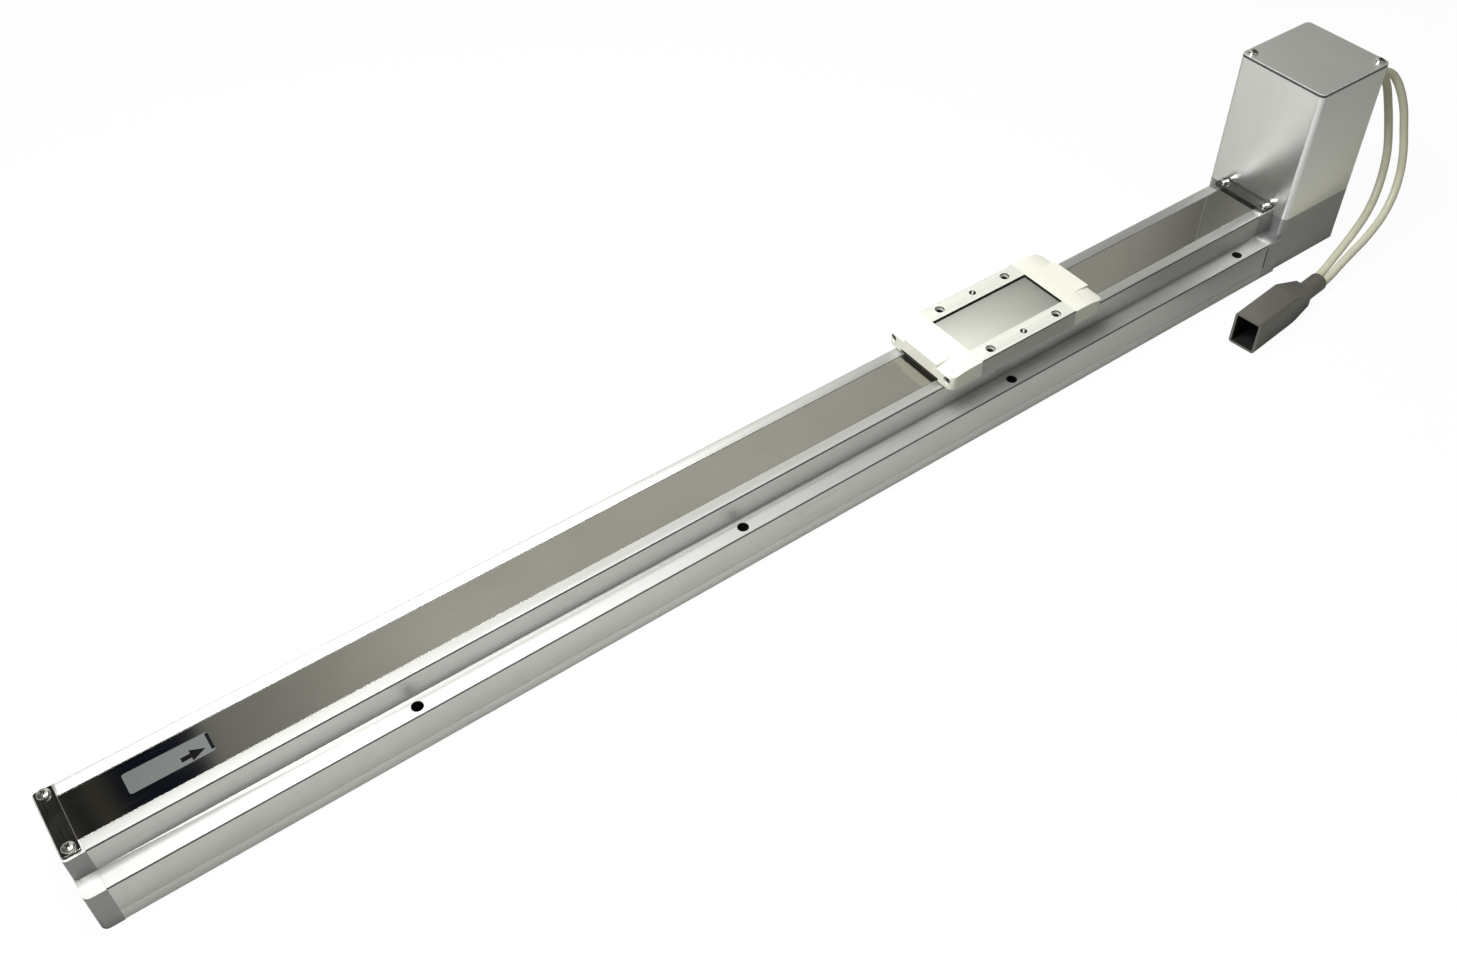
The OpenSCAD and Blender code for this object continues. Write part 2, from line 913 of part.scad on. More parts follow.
module support_bearing_outer_ring() {
    color("silver")
        outer_ring(x_support, axis_height, support_outer_r, tail_r, support_width, 1.75);
}

module support_bearing_inner_ring() {
    color("silver")
        inner_ring(x_support, axis_height, support_outer_r, tail_r, support_width, 1.75);
}

module support_bearing_balls() {
    color("gainsboro")
        ball_ring(x_support, axis_height, support_outer_r, tail_r, support_width, 1.75, 8);
}

module bearing_circlip() {
    color("#4a4a4a")
        translate([x_support - 1.3, 0, axis_height])
            difference() {
                rod_x(tail_r + 1, 0.9);
                translate([-over, 0, 0])
                    rod_x(tail_r - 0.4, 0.9 + 2 * over);
                box(-over, 2 * over, -1.1, 1.1, 0, 10);
            }
}

module bumper(x, length) {
    difference() {
        box(x, x + length, -rail_inner + 2, rail_inner - 2, rail_floor + 0.5, rail_floor + 18);
        translate([x - over, 0, axis_height])
            rod_x(screw_r + 1.5, length + 2 * over);
    }
}

module near_bumper() {
    color("#303030")
        bumper(x_bumper, near_bumper_length);
}

module far_bumper() {
    color("#303030")
        bumper(x_neck - far_bumper_length, far_bumper_length);
}

// ---------- drive housing ----------

retainer_y = fixed_outer_r + 2;
retainer_rise = 8.7;
retainer_screws = [for (s = [-1, 1], t = [-1, 1]) [s * retainer_y, axis_height + t * retainer_rise]];
foot_screws = [for (s = [-1, 1]) [x_plate - bracket_foot + 6, s * (bracket_half - 4)]];
cover_screws = [[x_tower + 6.3, 21.2], [x_back - 6.3, -21.2]];
bottom_screws = [
    [x_wall + 12, -20.5], [x_wall + 12, 20.5], [x_back - 6.5, -20.5], [x_back - 6.5, 20.5]
];

module drive_housing() {
    ceiling = block_height - top_plate;
    inside = block_half_width - block_wall;
    color("#8d9092")
        difference() {
            union() {
                translate([x_neck, 0, 0])
                    along_x(neck_length)
                        body_outline();
                translate([x_tower, 0, 0])
                    linear_extrude(block_height)
                        soft_plan(0, tower_side, block_half_width, 3, 3);
            }
            box(x_neck - over, x_tower - 2.8, -recess_half, recess_half, band_floor, body_height + over);
            difference() {
                box(x_wall, x_back - tower_wall, -inside, inside, cover_floor, ceiling);
                for (p = bottom_screws)
                    box(p[0] - 3.2, p[0] + 3.2, p[1] - (p[1] > 0 ? 3.2 : 6), p[1] + (p[1] > 0 ? 6 : 3.2),
                        0, 10);
            }
            box(x_wall, x_back - tower_wall, -inside, inside, -over, cover_floor);
            box(x_belt - 3, x_belt + belt_width + 3, -14, 14, ceiling - over, block_height + over);
            translate([x_neck - over, 0, axis_height])
                rod_x(screw_r + 1.5, 4);
            translate([x_fixed, 0, axis_height])
                rod_x(fixed_outer_r, x_wall - x_fixed + over);
            for (s = [-1, 1], z = end_screw_z)
                translate([x_neck - over, s * end_screw_y, z])
                    rod_x(1.7, x_wall - x_neck + 2 * over);
            for (s = [-1, 1])
                translate([x_tower - 3.4, s * clamp_screw_y, body_height - 5])
                    cylinder(r = screw3_r, h = 6);
            for (p = retainer_screws)
                translate([x_wall - 6, p[0], p[1]])
                    rod_x(1.25, 6 + over);
            for (p = foot_screws)
                translate([p[0], p[1], ceiling - over])
                    cylinder(r = 1.5, h = top_plate + 2 * over);
            for (p = cover_screws)
                translate([p[0], p[1], ceiling - over])
                    cylinder(r = 1.7, h = top_plate + 2 * over);
            for (p = bottom_screws)
                translate([p[0], p[1], 0])
                    cylinder(r = 1.25, h = 8);
        }
}

module drive_housing_screws() {
    color("dimgray") {
        for (s = [-1, 1], z = end_screw_z)
            translate([x_wall, s * end_screw_y, z])
                rotate([0, 90, 0])
                    socket_screw(1.5, x_wall - x_neck + end_screw_depth - 1, 3);
        for (p = retainer_screws)
            translate([x_wall + retainer_thickness, p[0], p[1]])
                rotate([0, 90, 0])
                    socket_screw(1.25, retainer_thickness + 5.5, 2.5);
    }
}

module fixed_bearing_outer_rings() {
    color("silver")
        for (i = [0 : fixed_count - 1])
            outer_ring(x_fixed + i * fixed_width, axis_height, fixed_outer_r, journal_r, fixed_width, 2);
}

module fixed_bearing_inner_rings() {
    color("silver")
        for (i = [0 : fixed_count - 1])
            inner_ring(x_fixed + i * fixed_width, axis_height, fixed_outer_r, journal_r, fixed_width, 2);
}

module fixed_bearing_balls() {
    color("gainsboro")
        for (i = [0 : fixed_count - 1])
            ball_ring(x_fixed + i * fixed_width, axis_height, fixed_outer_r, journal_r,
                      fixed_width, 2, 9);
}

module bearing_retainer() {
    color("#606468")
        difference() {
            box(x_wall, x_wall + retainer_thickness, -16, 16, 4.8, block_height - top_plate);
            translate([x_wall - over, 0, axis_height])
                rod_x(fixed_outer_r - 1.8, retainer_thickness + 2 * over);
            for (p = retainer_screws)
                translate([x_wall - over, p[0], p[1]])
                    rod_x(1.45, retainer_thickness + 2 * over);
        }
}

module bearing_lock_nut() {
    color("#505458")
        translate([x_lock, 0, axis_height])
            difference() {
                rod_x(7, lock_nut_length);
                translate([-over, 0, 0])
                    rod_x(journal_r, lock_nut_length + 2 * over);
                for (a = [0 : 90 : 270])
                    rotate([a, 0, 0])
                        box(1.5, lock_nut_length + over, -1.2, 1.2, 5.6, 8);
            }
}

module bottom_cover() {
    inside = block_half_width - block_wall - fine_gap;
    color("#a8aaac")
        difference() {
            box(x_wall + fine_gap, x_back - tower_wall - fine_gap, -inside, inside, 0.3, cover_floor);
            for (p = bottom_screws)
                translate([p[0], p[1], cover_floor])
                    mirror([0, 0, 1]) {
                        translate([0, 0, -over])
                            cylinder(r = 1.45, h = 4);
                        translate([0, 0, 0.35])
                            cylinder(r1 = 1.45, r2 = 3, h = 1.2);
                    }
        }
}

module bottom_cover_screws() {
    color("dimgray")
        for (p = bottom_screws)
            translate([p[0], p[1], 0.3])
                mirror([0, 0, 1])
                    difference() {
                        union() {
                            translate([0, 0, -7.4])
                                cylinder(r = 1.25, h = 7.4);
                            translate([0, 0, -1])
                                cylinder(r1 = 1.3, r2 = 2.6, h = 1);
                        }
                        for (a = [0, 90])
                            rotate([0, 0, a])
                                translate([-1.2, -0.25, -0.6])
                                    cube([2.4, 0.5, 1]);
                    }
}

// ---------- tower ----------

lid_screws = [[x_tower + 4.2, 23.3], [x_back - 4.2, -23.3]];

module tower_cover() {
    color("lightgray")
        difference() {
            union() {
                difference() {
                    translate([0, 0, block_height])
                        linear_extrude(tower_height - block_height)
                            soft_plan(x_tower, x_back, block_half_width, 3, 3);
                    translate([0, 0, block_height - over])
                        linear_extrude(tower_height)
                            soft_plan(x_tower + tower_wall, x_back - tower_wall,
                                      block_half_width - tower_wall, 1, 1);
                }
                intersection() {
                    translate([0, 0, block_height])
                        linear_extrude(tower_height - block_height)
                            soft_plan(x_tower, x_back, block_half_width, 3, 3);
                    union() {
                        for (p = lid_screws)
                            box(p[0] - 3.2, p[0] + 3.2, p[1] - 3, p[1] + 3,
                                tower_height - lid_post, tower_height);
                        for (p = cover_screws)
                            box(p[0] - 4.3, p[0] + 4.3, p[1] - 4.3, p[1] + 4.3,
                                block_height, block_height + 8);
                    }
                }
            }
            for (p = lid_screws)
                translate([p[0], p[1], tower_height - lid_post - over])
                    cylinder(r = screw3_r, h = lid_post + 3 * over);
            for (p = cover_screws)
                translate([p[0], p[1], block_height - over])
                    cylinder(r = 1.5, h = 8);
            cable_slot(x_back - tower_wall - over, tower_wall + 2 * over, 0);
        }
}

// rounded opening around both cables
module cable_slot(x, length, grow) {
    translate([x, 0, 0])
        along_x(length) {
            for (p = [power_exit, signal_exit])
                translate([p[1], p[2]])
                    circle(cable_r + 1.6 + grow);
            translate([power_exit[1], power_exit[2] - cable_r - 1.6 - grow])
                square([signal_exit[1] - power_exit[1], 2 * (cable_r + 1.6 + grow)]);
        }
}

module cable_grommet() {
    color("#202020")
        difference() {
            union() {
                cable_slot(x_back - tower_wall, tower_wall, 0);
                cable_slot(x_back - tower_wall - 1.2, 1.2, 0.9);
            }
            for (p = [power_exit, signal_exit])
                translate([x_back - tower_wall - 3, p[1], p[2]])
                    rod_x(cable_r + 0.15, tower_wall + 6);
        }
}

module tower_base_screws() {
    color("dimgray") {
        for (p = foot_screws)
            translate([p[0], p[1], block_height + foot_thickness])
                socket_screw(screw3_r, foot_thickness + top_plate - 0.5, 2 * screw3_r);
        for (p = cover_screws)
            translate([p[0], p[1], block_height - top_plate])
                mirror([0, 0, 1])
                    socket_screw(screw3_r, top_plate + 4 * screw3_r, 2 * screw3_r);
    }
}

module tower_lid() {
    color("#9c9fa1")
        difference() {
            translate([0, 0, tower_height])
                linear_extrude(lid_thickness)
                    soft_plan(x_tower, x_back, block_half_width, 3, 3);
            for (p = lid_screws)
                translate([p[0], p[1], tower_height - over])
                    cylinder(r = screw3_r + 0.2, h = lid_thickness + 2 * over);
        }
}

module tower_lid_screws() {
    color("gainsboro")
        for (p = lid_screws)
            translate([p[0], p[1], tower_height + lid_thickness])
                pan_screw(screw3_r, lid_thickness + lid_post);
}

// ---------- motor ----------

module motor_plan() {
    s = motor_side / 2;
    c = 4;
    translate([0, motor_height])
        polygon([
            [-s + c, -s], [s - c, -s], [s, -s + c], [s, s - c],
            [s - c, s], [-s + c, s], [-s, s - c], [-s, -s + c]
        ]);
}

module motor_holes(x, length, r) {
    for (sy = [-1, 1], sz = [-1, 1])
        translate([x, sy * motor_hole, motor_height + sz * motor_hole])
            rod_x(r, length);
}

module motor_bracket() {
    color("#7c8084")
        difference() {
            union() {
                box(x_plate, x_plate + plate_thickness, -bracket_half, bracket_half,
                    block_height, motor_height + motor_side / 2 - 1);
                box(x_plate - bracket_foot, x_plate + 0.5, -bracket_half, bracket_half,
                    block_height, block_height + foot_thickness);
            }
            translate([x_plate - over, 0, motor_height])
                rod_x(11.2, plate_thickness + 2 * over);
            motor_holes(x_plate - over, plate_thickness + 2 * over, 1.7);
            for (p = foot_screws)
                translate([p[0], p[1], block_height - over])
                    cylinder(r = 1.7, h = 8);
            box(x_plate - over, x_plate + plate_thickness + over, -13, 13,
                block_height + 6, motor_height - 19);
        }
}

module motor_screws() {
    color("dimgray") {
        for (sy = [-1, 1], sz = [-1, 1]) {
            translate([x_plate + plate_thickness, sy * motor_hole, motor_height + sz * motor_hole])
                rotate([0, 90, 0])
                    socket_screw(1.5, plate_thickness + 4, 3);
            translate([x_motor + 2.4, sy * motor_hole, motor_height + sz * motor_hole])
                rotate([0, -90, 0])
                    socket_screw(1.3, motor_length - 8, 2);
        }
    }
}

module motor_front_cap() {
    x = x_plate - cap_length;
    color("#b0b2b4")
        difference() {
            union() {
                translate([x, 0, 0])
                    along_x(cap_length)
                        motor_plan();
                translate([x_plate - over, 0, motor_height])
                    rod_x(11, 2 + over);
            }
            translate([x - over, 0, motor_height])
                rod_x(motor_bearing_r, over + cap_length - 1);
            translate([x, 0, motor_height])
                rod_x(shaft_r + 1.2, cap_length + 2 + over);
            translate([x - over, 0, motor_height])
                rod_x(rotor_r + 2, over + 1.5);
            motor_holes(x_plate - 4.2, 4.2 + over, 1.5);
            motor_holes(x - over, over + 3, 1.3);
        }
}

module motor_rear_cap() {
    color("#b0b2b4")
        difference() {
            translate([x_motor, 0, 0])
                along_x(cap_length)
                    motor_plan();
            translate([x_motor + 1.5, 0, motor_height])
                rod_x(motor_bearing_r, cap_length);
            translate([x_motor + cap_length - 1.5, 0, motor_height])
                rod_x(rotor_r + 2, 1.5 + over);
            motor_holes(x_motor - over, cap_length + 2 * over, 1.5);
            motor_holes(x_motor - over, 2.4 + over, 2.5);
        }
}

stack_start = x_motor + cap_length;
stack_length = motor_length - 2 * cap_length;
pole_count = 8;

module motor_stator() {
    color("#6a6c6e")
        difference() {
            translate([stack_start, 0, 0])
                along_x(stack_length)
                    motor_plan();
            translate([stack_start - over, 0, motor_height])
                rod_x(bore_r, stack_length + 2 * over);
            for (i = [0 : pole_count - 1])
                translate([stack_start - over, 0, motor_height])
                    rotate([i * 360 / pole_count, 0, 0])
                        box(0, stack_length + 2 * over, 11, 16.6, -3.2, 3.2);
            motor_holes(stack_start - over, stack_length + 2 * over, 1.5);
        }
}

module motor_coils() {
    color("#a5672f")
        for (i = [0 : pole_count - 1])
            translate([stack_start, 0, motor_height])
                rotate([i * 360 / pole_count, 0, 0])
                    box(0, stack_length, 13, 16.6, -3.2, 3.2);
}

module motor_bearings() {
    color("silver")
        for (x = [x_motor + 1.5, x_plate - 1 - motor_bearing_width]) {
            outer_ring(x, motor_height, motor_bearing_r, shaft_r, motor_bearing_width, 1.1);
            ball_ring(x, motor_height, motor_bearing_r, shaft_r, motor_bearing_width, 1.1, 8);
        }
}

module motor_rotor() {
    color("#8c8e90") {
        translate([x_motor + 2.2, 0, motor_height])
            rod_x(shaft_r, x_pulley + belt_width + 2 - x_motor - 2.2);
        translate([stack_start + 0.5, 0, motor_height])
            difference() {
                rod_x(rotor_r, stack_length - 1);
                for (i = [0 : 23])
                    rotate([i * 15, 0, 0])
                        box(-over, stack_length + over, rotor_r - 0.8, rotor_r + over, -0.7, 0.7);
            }
        for (x = [x_motor + 1.5, x_plate - 1 - motor_bearing_width])
            inner_ring(x, motor_height, motor_bearing_r, shaft_r, motor_bearing_width, 1.1);
    }
}

// ---------- belt drive ----------

module pulley(z, bore, hub) {
    width = belt_width + 1;
    translate([x_pulley, 0, z])
        difference() {
            union() {
                difference() {
                    rod_x(pulley_r, width);
                    for (i = [0 : pulley_teeth - 1])
                        rotate([(i + 0.5) * 360 / pulley_teeth, 0, 0])
                            translate([-over, belt_inner_r, 0])
                                rod_x(tooth_r + 0.25, width + 2 * over);
                }
                for (x = [-1, width])
                    translate([x, 0, 0])
                        rod_x(flange_r, 1);
                if (hub > 0)
                    translate([-1 - hub, 0, 0])
                        rod_x(pulley_r - 1.5, hub + 0.5);
            }
            translate([-2 - hub, 0, 0])
                rod_x(bore, width + hub + 4);
            if (hub > 0)
                translate([-1 - hub / 2, 0, 0])
                    cylinder(r = 1.5, h = 20);
        }
}

module screw_pulley() {
    color("#c9cbcd")
        pulley(axis_height, tail_r, 7);
}

module motor_pulley() {
    color("#c9cbcd")
        pulley(motor_height, shaft_r, 0);
}

module belt_loop(r) {
    for (z = [axis_height, motor_height])
        translate([0, z])
            circle(r);
    translate([-r, axis_height])
        square([2 * r, motor_height - axis_height]);
}

module timing_belt() {
    color("#1c1c1c")
        translate([x_belt, 0, 0])
            along_x(belt_width) {
                difference() {
                    belt_loop(belt_inner_r + belt_back);
                    belt_loop(belt_inner_r);
                }
                for (i = [0 : belt_straight_teeth - 1], s = [-1, 1])
                    translate([s * (belt_inner_r + 0.2), axis_height + (i + 0.5) * belt_pitch])
                        circle(tooth_r);
                for (i = [0 : pulley_teeth / 2 - 1], side = [0, 1])
                    translate([0, side > 0 ? motor_height : axis_height])
                        rotate(side > 0 ? 0 : 180)
                            rotate((i + 0.5) * 360 / pulley_teeth)
                                translate([belt_inner_r + 0.2, 0])
                                    circle(tooth_r);
            }
}

// ---------- cables and connector ----------

// cable paths as offsets from the back face of the tower
power_path = [
    [-3.5, -19.2, 102.4], [1.5, -19.2, 102.4], [8, -20.2, 102], [14.5, -23, 98.8],
    [19.2, -27, 90.5], [22.4, -31.2, 79], [23.6, -35, 66.5], [22.9, -39.4, 55],
    [20.2, -43.4, 43.6], [14.3, -47, 32.6], [5, -49.8, 23.8], [-8.1, -52, 17.2],
    [-20, -53.3, 13.4], [-31, -54.6, 10.2], [-41, -56.1, 7.6], [-49.6, -57.17, 6.5],
    [-61.5, -58.42, 6.5]
];
signal_path = [
    [-3.5, -12.4, 102.4], [1.5, -12.4, 102.4], [8, -13.2, 101.9], [14.5, -15.8, 97.5],
    [19.5, -18.6, 88.8], [22.3, -21.5, 77.5], [23.4, -25.6, 64.5], [22.4, -30.3, 51.5],
    [18.8, -34.2, 39.5], [12, -38, 29], [2.5, -41.4, 21.9], [-9.3, -44.4, 17],
    [-21, -46.9, 13.3], [-32, -49.2, 10.2], [-42, -51.2, 7.6], [-50.1, -52.39, 6.5],
    [-62, -53.64, 6.5]
];

function blend(a, b, c, d, t) =
    0.5 * (2 * b + (c - a) * t + (2 * a - 5 * b + 4 * c - d) * t * t
        + (3 * b - a - 3 * c + d) * t * t * t);

function way(p, i) = p[max(0, min(len(p) - 1, i))];

function run(p, n) = [
    for (i = [0 : len(p) - 2], j = [0 : n - 1])
        blend(way(p, i - 1), way(p, i), way(p, i + 1), way(p, i + 2), j / n),
    p[len(p) - 1]
];

function unit(v) = v / norm(v);

function ring(c, dir, r, sides) =
    let (u = unit(cross(dir, [0, 1, 0])), v = cross(dir, u))
    [for (k = [0 : sides - 1])
        c + r * (cos(360 * k / sides) * u + sin(360 * k / sides) * v)];

module cord(path, r, sides, per) {
    p = run([for (q = path) q + [x_back, 0, 0]], per);
    n = len(p);
    points = [
        for (i = [0 : n - 1])
            each ring(p[i], unit(way(p, i + 1) - way(p, i - 1)), r, sides)
    ];
    faces = concat(
        [[for (k = [0 : sides - 1]) k]],
        [for (i = [0 : n - 2], k = [0 : sides - 1])
            [i * sides + k, (i + 1) * sides + k, (i + 1) * sides + (k + 1) % sides,
             i * sides + (k + 1) % sides]],
        [[for (k = [sides - 1 : -1 : 0]) (n - 1) * sides + k]]
    );
    polyhedron(points, faces, convexity = 6);
}

module power_cable() {
    color("#d8d4bc")
        cord(power_path, cable_r, 10, 2);
}

module signal_cable() {
    color("#d8d4bc")
        cord(signal_path, cable_r, 10, 2);
}

module hood_frame() {
    translate(hood_tip)
        rotate([0, 0, hood_yaw])
            children();
}

module connector_hood() {
    w = hood_width / 2;
    h = hood_height;
    t = neck_tube_r + 0.2;
    z = neck_tube_z;
    x_end = sleeve_length + taper_length;
    color("#4a4842")
        hood_frame()
            difference() {
                union() {
                    intersection() {
                        linear_extrude(h)
                            polygon([
                                [0, -w], [sleeve_length, -w], [x_end, -t],
                                [x_end, t], [sleeve_length, w], [0, w]
                            ]);
                        translate([0, w + over, 0])
                            rotate([90, 0, 0])
                                linear_extrude(2 * w + 2 * over)
                                    polygon([
                                        [-over, 0], [sleeve_length, 0], [x_end + over, z - t],
                                        [x_end + over, z + t], [sleeve_length, h], [-over, h]
                                    ]);
                        translate([-over, 0, 0])
                            along_x(x_end + 2 * over)
                                translate([0, h / 2])
                                    rotate(90)
                                        soft_plan(-h / 2, h / 2, w, hood_corner, hood_corner);
                    }
                    translate([x_end - 3, 0, z])
                        rod_x(neck_tube_r, neck_tube_length + 3);
                }
                box(-over, sleeve_length - 2, -w + hood_wall, w - hood_wall, hood_wall, h - hood_wall);
                for (y = [-2.4, 2.4])
                    translate([x_end + 2, y, z])
                        rod_x(cable_r + gap, neck_tube_length + over);
            }
}

module connector_insert() {
    w = hood_width / 2 - hood_wall;
    color("#1a1a1a")
        hood_frame()
            difference() {
                box(14, sleeve_length - 2, -w, w, hood_wall, hood_height - hood_wall);
                for (y = [-3, 3], k = [0 : 3])
                    translate([13, y, hood_wall + 3 + k * (hood_height - 2 * hood_wall - 6) / 3])
                        rod_x(1, 8);
            }
}

// ---------- output ----------

body_extrusion();
near_end_block();
near_end_screws();
bearing_holder();
support_bearing_outer_ring();
support_bearing_balls();
near_bumper();
far_bumper();
guide_rail();
guide_rail_screws();
seal_magnets();
seal_band();
near_band_clamp();
near_clamp_screws();
far_band_clamp();
far_clamp_screws();
drive_housing();
drive_housing_screws();
fixed_bearing_outer_rings();
fixed_bearing_balls();
bearing_retainer();
bottom_cover();
bottom_cover_screws();
tower_cover();
tower_base_screws();
tower_lid();
tower_lid_screws();
motor_bracket();
motor_screws();
motor_stator();
motor_coils();
motor_front_cap();
motor_rear_cap();
motor_bearings();
timing_belt();
cable_grommet();
power_cable();
signal_cable();
connector_hood();
connector_insert();
ball_screw();
screw_pulley();
bearing_lock_nut();
fixed_bearing_inner_rings();
support_bearing_inner_ring();
bearing_circlip();
motor_rotor();
motor_pulley();
carriage_table();
table_screws();
slide_block();
ball_nut();
nut_balls();
nut_end_rings();
guide_balls();
near_band_holder();
far_band_holder();
holder_screws();
centre_plate();
band_wipers();
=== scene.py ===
"""Looks for the ball screw linear module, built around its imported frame.

Lengths are in millimetres and angles in degrees. MM turns them into Blender's metres.
"""

from __future__ import annotations

import json
import logging
import math
from dataclasses import dataclass
from enum import Enum
from functools import cache
from typing import Callable, ClassVar, Iterable, Protocol, Sequence

import bmesh
import bpy
from mathutils import Matrix, Vector

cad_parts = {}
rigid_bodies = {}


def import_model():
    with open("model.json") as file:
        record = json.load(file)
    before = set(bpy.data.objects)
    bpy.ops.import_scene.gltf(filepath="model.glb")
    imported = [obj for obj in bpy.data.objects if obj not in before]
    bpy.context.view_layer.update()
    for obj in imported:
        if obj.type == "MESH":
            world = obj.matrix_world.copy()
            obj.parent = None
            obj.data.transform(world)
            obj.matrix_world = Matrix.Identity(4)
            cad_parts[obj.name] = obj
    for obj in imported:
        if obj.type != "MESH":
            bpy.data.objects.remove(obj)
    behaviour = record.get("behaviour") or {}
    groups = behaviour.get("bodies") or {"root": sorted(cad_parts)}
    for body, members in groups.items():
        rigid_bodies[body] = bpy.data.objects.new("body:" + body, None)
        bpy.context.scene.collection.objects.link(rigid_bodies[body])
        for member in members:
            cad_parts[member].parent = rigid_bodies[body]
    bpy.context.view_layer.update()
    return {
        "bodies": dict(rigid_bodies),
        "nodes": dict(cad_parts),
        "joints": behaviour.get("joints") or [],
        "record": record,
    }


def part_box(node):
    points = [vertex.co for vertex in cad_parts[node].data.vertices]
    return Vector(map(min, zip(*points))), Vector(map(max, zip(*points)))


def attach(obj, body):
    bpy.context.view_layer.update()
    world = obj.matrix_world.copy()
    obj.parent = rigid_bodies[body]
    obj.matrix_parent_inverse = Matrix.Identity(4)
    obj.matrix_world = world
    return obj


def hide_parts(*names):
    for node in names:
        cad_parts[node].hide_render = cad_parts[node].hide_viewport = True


LOG = logging.getLogger("linear_module")
MM = 0.001
SIDES = (-1, 1)
BEYOND = 1.0  # how far a cut reaches past the piece
ROUND_STEPS = 32  # faces round a hole
Pair = tuple[float, float]
Point = tuple[float, float, float]
Colour = tuple[float, float, float]
Mesh = bmesh.types.BMesh
Node = bpy.types.Node
Object = bpy.types.Object
Socket = bpy.types.NodeSocket
FaceTest = Callable[[Vector, Vector], bool]


class Body(Enum):
    """The bodies that the made pieces ride on."""

    BASE = "base"
    CARRIAGE = "carriage"


# ---- node helpers


@dataclass
class Desk:
    """Places and links the nodes of one node tree."""

    tree: bpy.types.NodeTree

    def add(self, kind: str, settings: dict[str, object] | None = None, **inputs: object) -> Node:
        """Add a node.

        Args:
            kind: Blender's name of the node type.
            settings: Attributes to set on the node.
            **inputs: Values or sockets for the inputs, with underscores for spaces.

        Returns:
            The new node.
        """
        node = self.tree.nodes.new(kind)
        for key, value in (settings or {}).items():
            setattr(node, key, value)
        for key, value in inputs.items():
            self.feed(node, key.replace("_", " "), value)
        return node

    def feed(self, node: Node, name: str | int, value: object) -> None:
        """Set or link one input of a node.

        Args:
            node: The node that is fed.
            name: The name or index of the input.
            value: A socket to link, or a plain value.
        """
        socket = node.inputs[name]
        if isinstance(value, Socket):
            self.tree.links.new(value, socket)
        else:
            socket.default_value = value

    def maths(self, operation: str, a: object, b: object = 0.0) -> Socket:
        """Return the result of a maths node.

        Args:
            operation: Blender's name of the operation.
            a: First value or socket.
            b: Second value or socket.

        Returns:
            The node's output socket.
        """
        node = self.add("ShaderNodeMath", {"operation": operation})
        self.feed(node, 0, a)
        self.feed(node, 1, b)
        return node.outputs[0]

    def times(self, a: object, b: object) -> Socket:
        """Return the product of two values."""
        return self.maths("MULTIPLY", a, b)

    def plus(self, a: object, b: object) -> Socket:
        """Return the sum of two values."""
        return self.maths("ADD", a, b)

    def gap(self, a: object, b: object) -> Socket:
        """Return the distance between two values."""
        return self.maths("ABSOLUTE", self.maths("SUBTRACT", a, b))

    def mix(self, factor: object, a: object, b: object) -> Socket:
        """Return a mix of two colours.

        Args:
            factor: How much of the second colour shows.
            a: First colour.
            b: Second colour.

        Returns:
            The mixed colour.
        """
        node = self.add("ShaderNodeMix", {"data_type": "RGBA"})
        for index, item in ((0, factor), (6, a), (7, b)):
            self.feed(node, index, item)
        return node.outputs[2]

    def ramp(self, value: object, low: float, high: float, start: float = 0.0, end: float = 1.0) -> Socket:
        """Return a smooth step of a value from one range to another.

        Args:
            value: The socket that is read.
            low: Where the step starts.
            high: Where the step ends.
            start: Result below the step.
            end: Result above the step.

        Returns:
            The stepped value.
        """
        node = self.add("ShaderNodeMapRange", {"interpolation_type": "SMOOTHSTEP"})
        for index, item in enumerate((value, low, high, start, end)):
            self.feed(node, index, item)
        return node.outputs[0]

    def between(self, value: object, rise: Pair, fall: Pair) -> Socket:
        """Return 1 between two soft steps of a value, and 0 outside them."""
        return self.times(self.ramp(value, *rise), self.ramp(value, *fall, 1.0, 0.0))

    def noise(self, where: Socket, scale: object, detail: float, roughness: float = 0.5) -> Socket:
        """Return the value of a noise texture.

        Args:
            where: The place that it is read at.
            scale: How fine it is.
            detail: How many finer layers it has.
            roughness: How strong the finer layers are.

        Returns:
            The noise, about 0.5 on average.
        """
        inputs = {"Vector": where, "Scale": scale, "Detail": detail, "Roughness": roughness}
        return self.add("ShaderNodeTexNoise", **inputs).outputs[0]

    def effect(self, effect: Effect, **inputs: object) -> Socket:
        """Return what a shared effect puts out."""
        return self.add("ShaderNodeGroup", {"node_tree": effect.tree()}, **inputs).outputs[0]


def rgba(colour: Colour) -> tuple[float, float, float, float]:
    """Return a colour with full alpha."""
    return (*colour, 1.0)


@dataclass(frozen=True)
class Effect:
    """A shader node group that the finishes share, with a vector as its first input."""

    name: str
    output: str
    wire: Callable[[Desk, Node], Socket]
    inputs: tuple[tuple[str, str, object], ...] = ()
    made: ClassVar[dict[str, bpy.types.NodeTree]] = {}

    def tree(self) -> bpy.types.NodeTree:
        """Make the node group on its first use.

        Returns:
            The group's node tree.
        """
        if self.name not in self.made:
            tree = self.made[self.name] = bpy.data.node_groups.new(self.name, "ShaderNodeTree")
            tree.interface.new_socket("Vector", in_out="INPUT", socket_type="NodeSocketVector")
            for label, kind, default in self.inputs:
                tree.interface.new_socket(label, in_out="INPUT", socket_type=kind).default_value = default
            tree.interface.new_socket(self.output, in_out="OUTPUT", socket_type="NodeSocketFloat")
            desk = Desk(tree)
            desk.feed(desk.add("NodeGroupOutput"), 0, self.wire(desk, desk.add("NodeGroupInput")))
        return self.made[self.name]


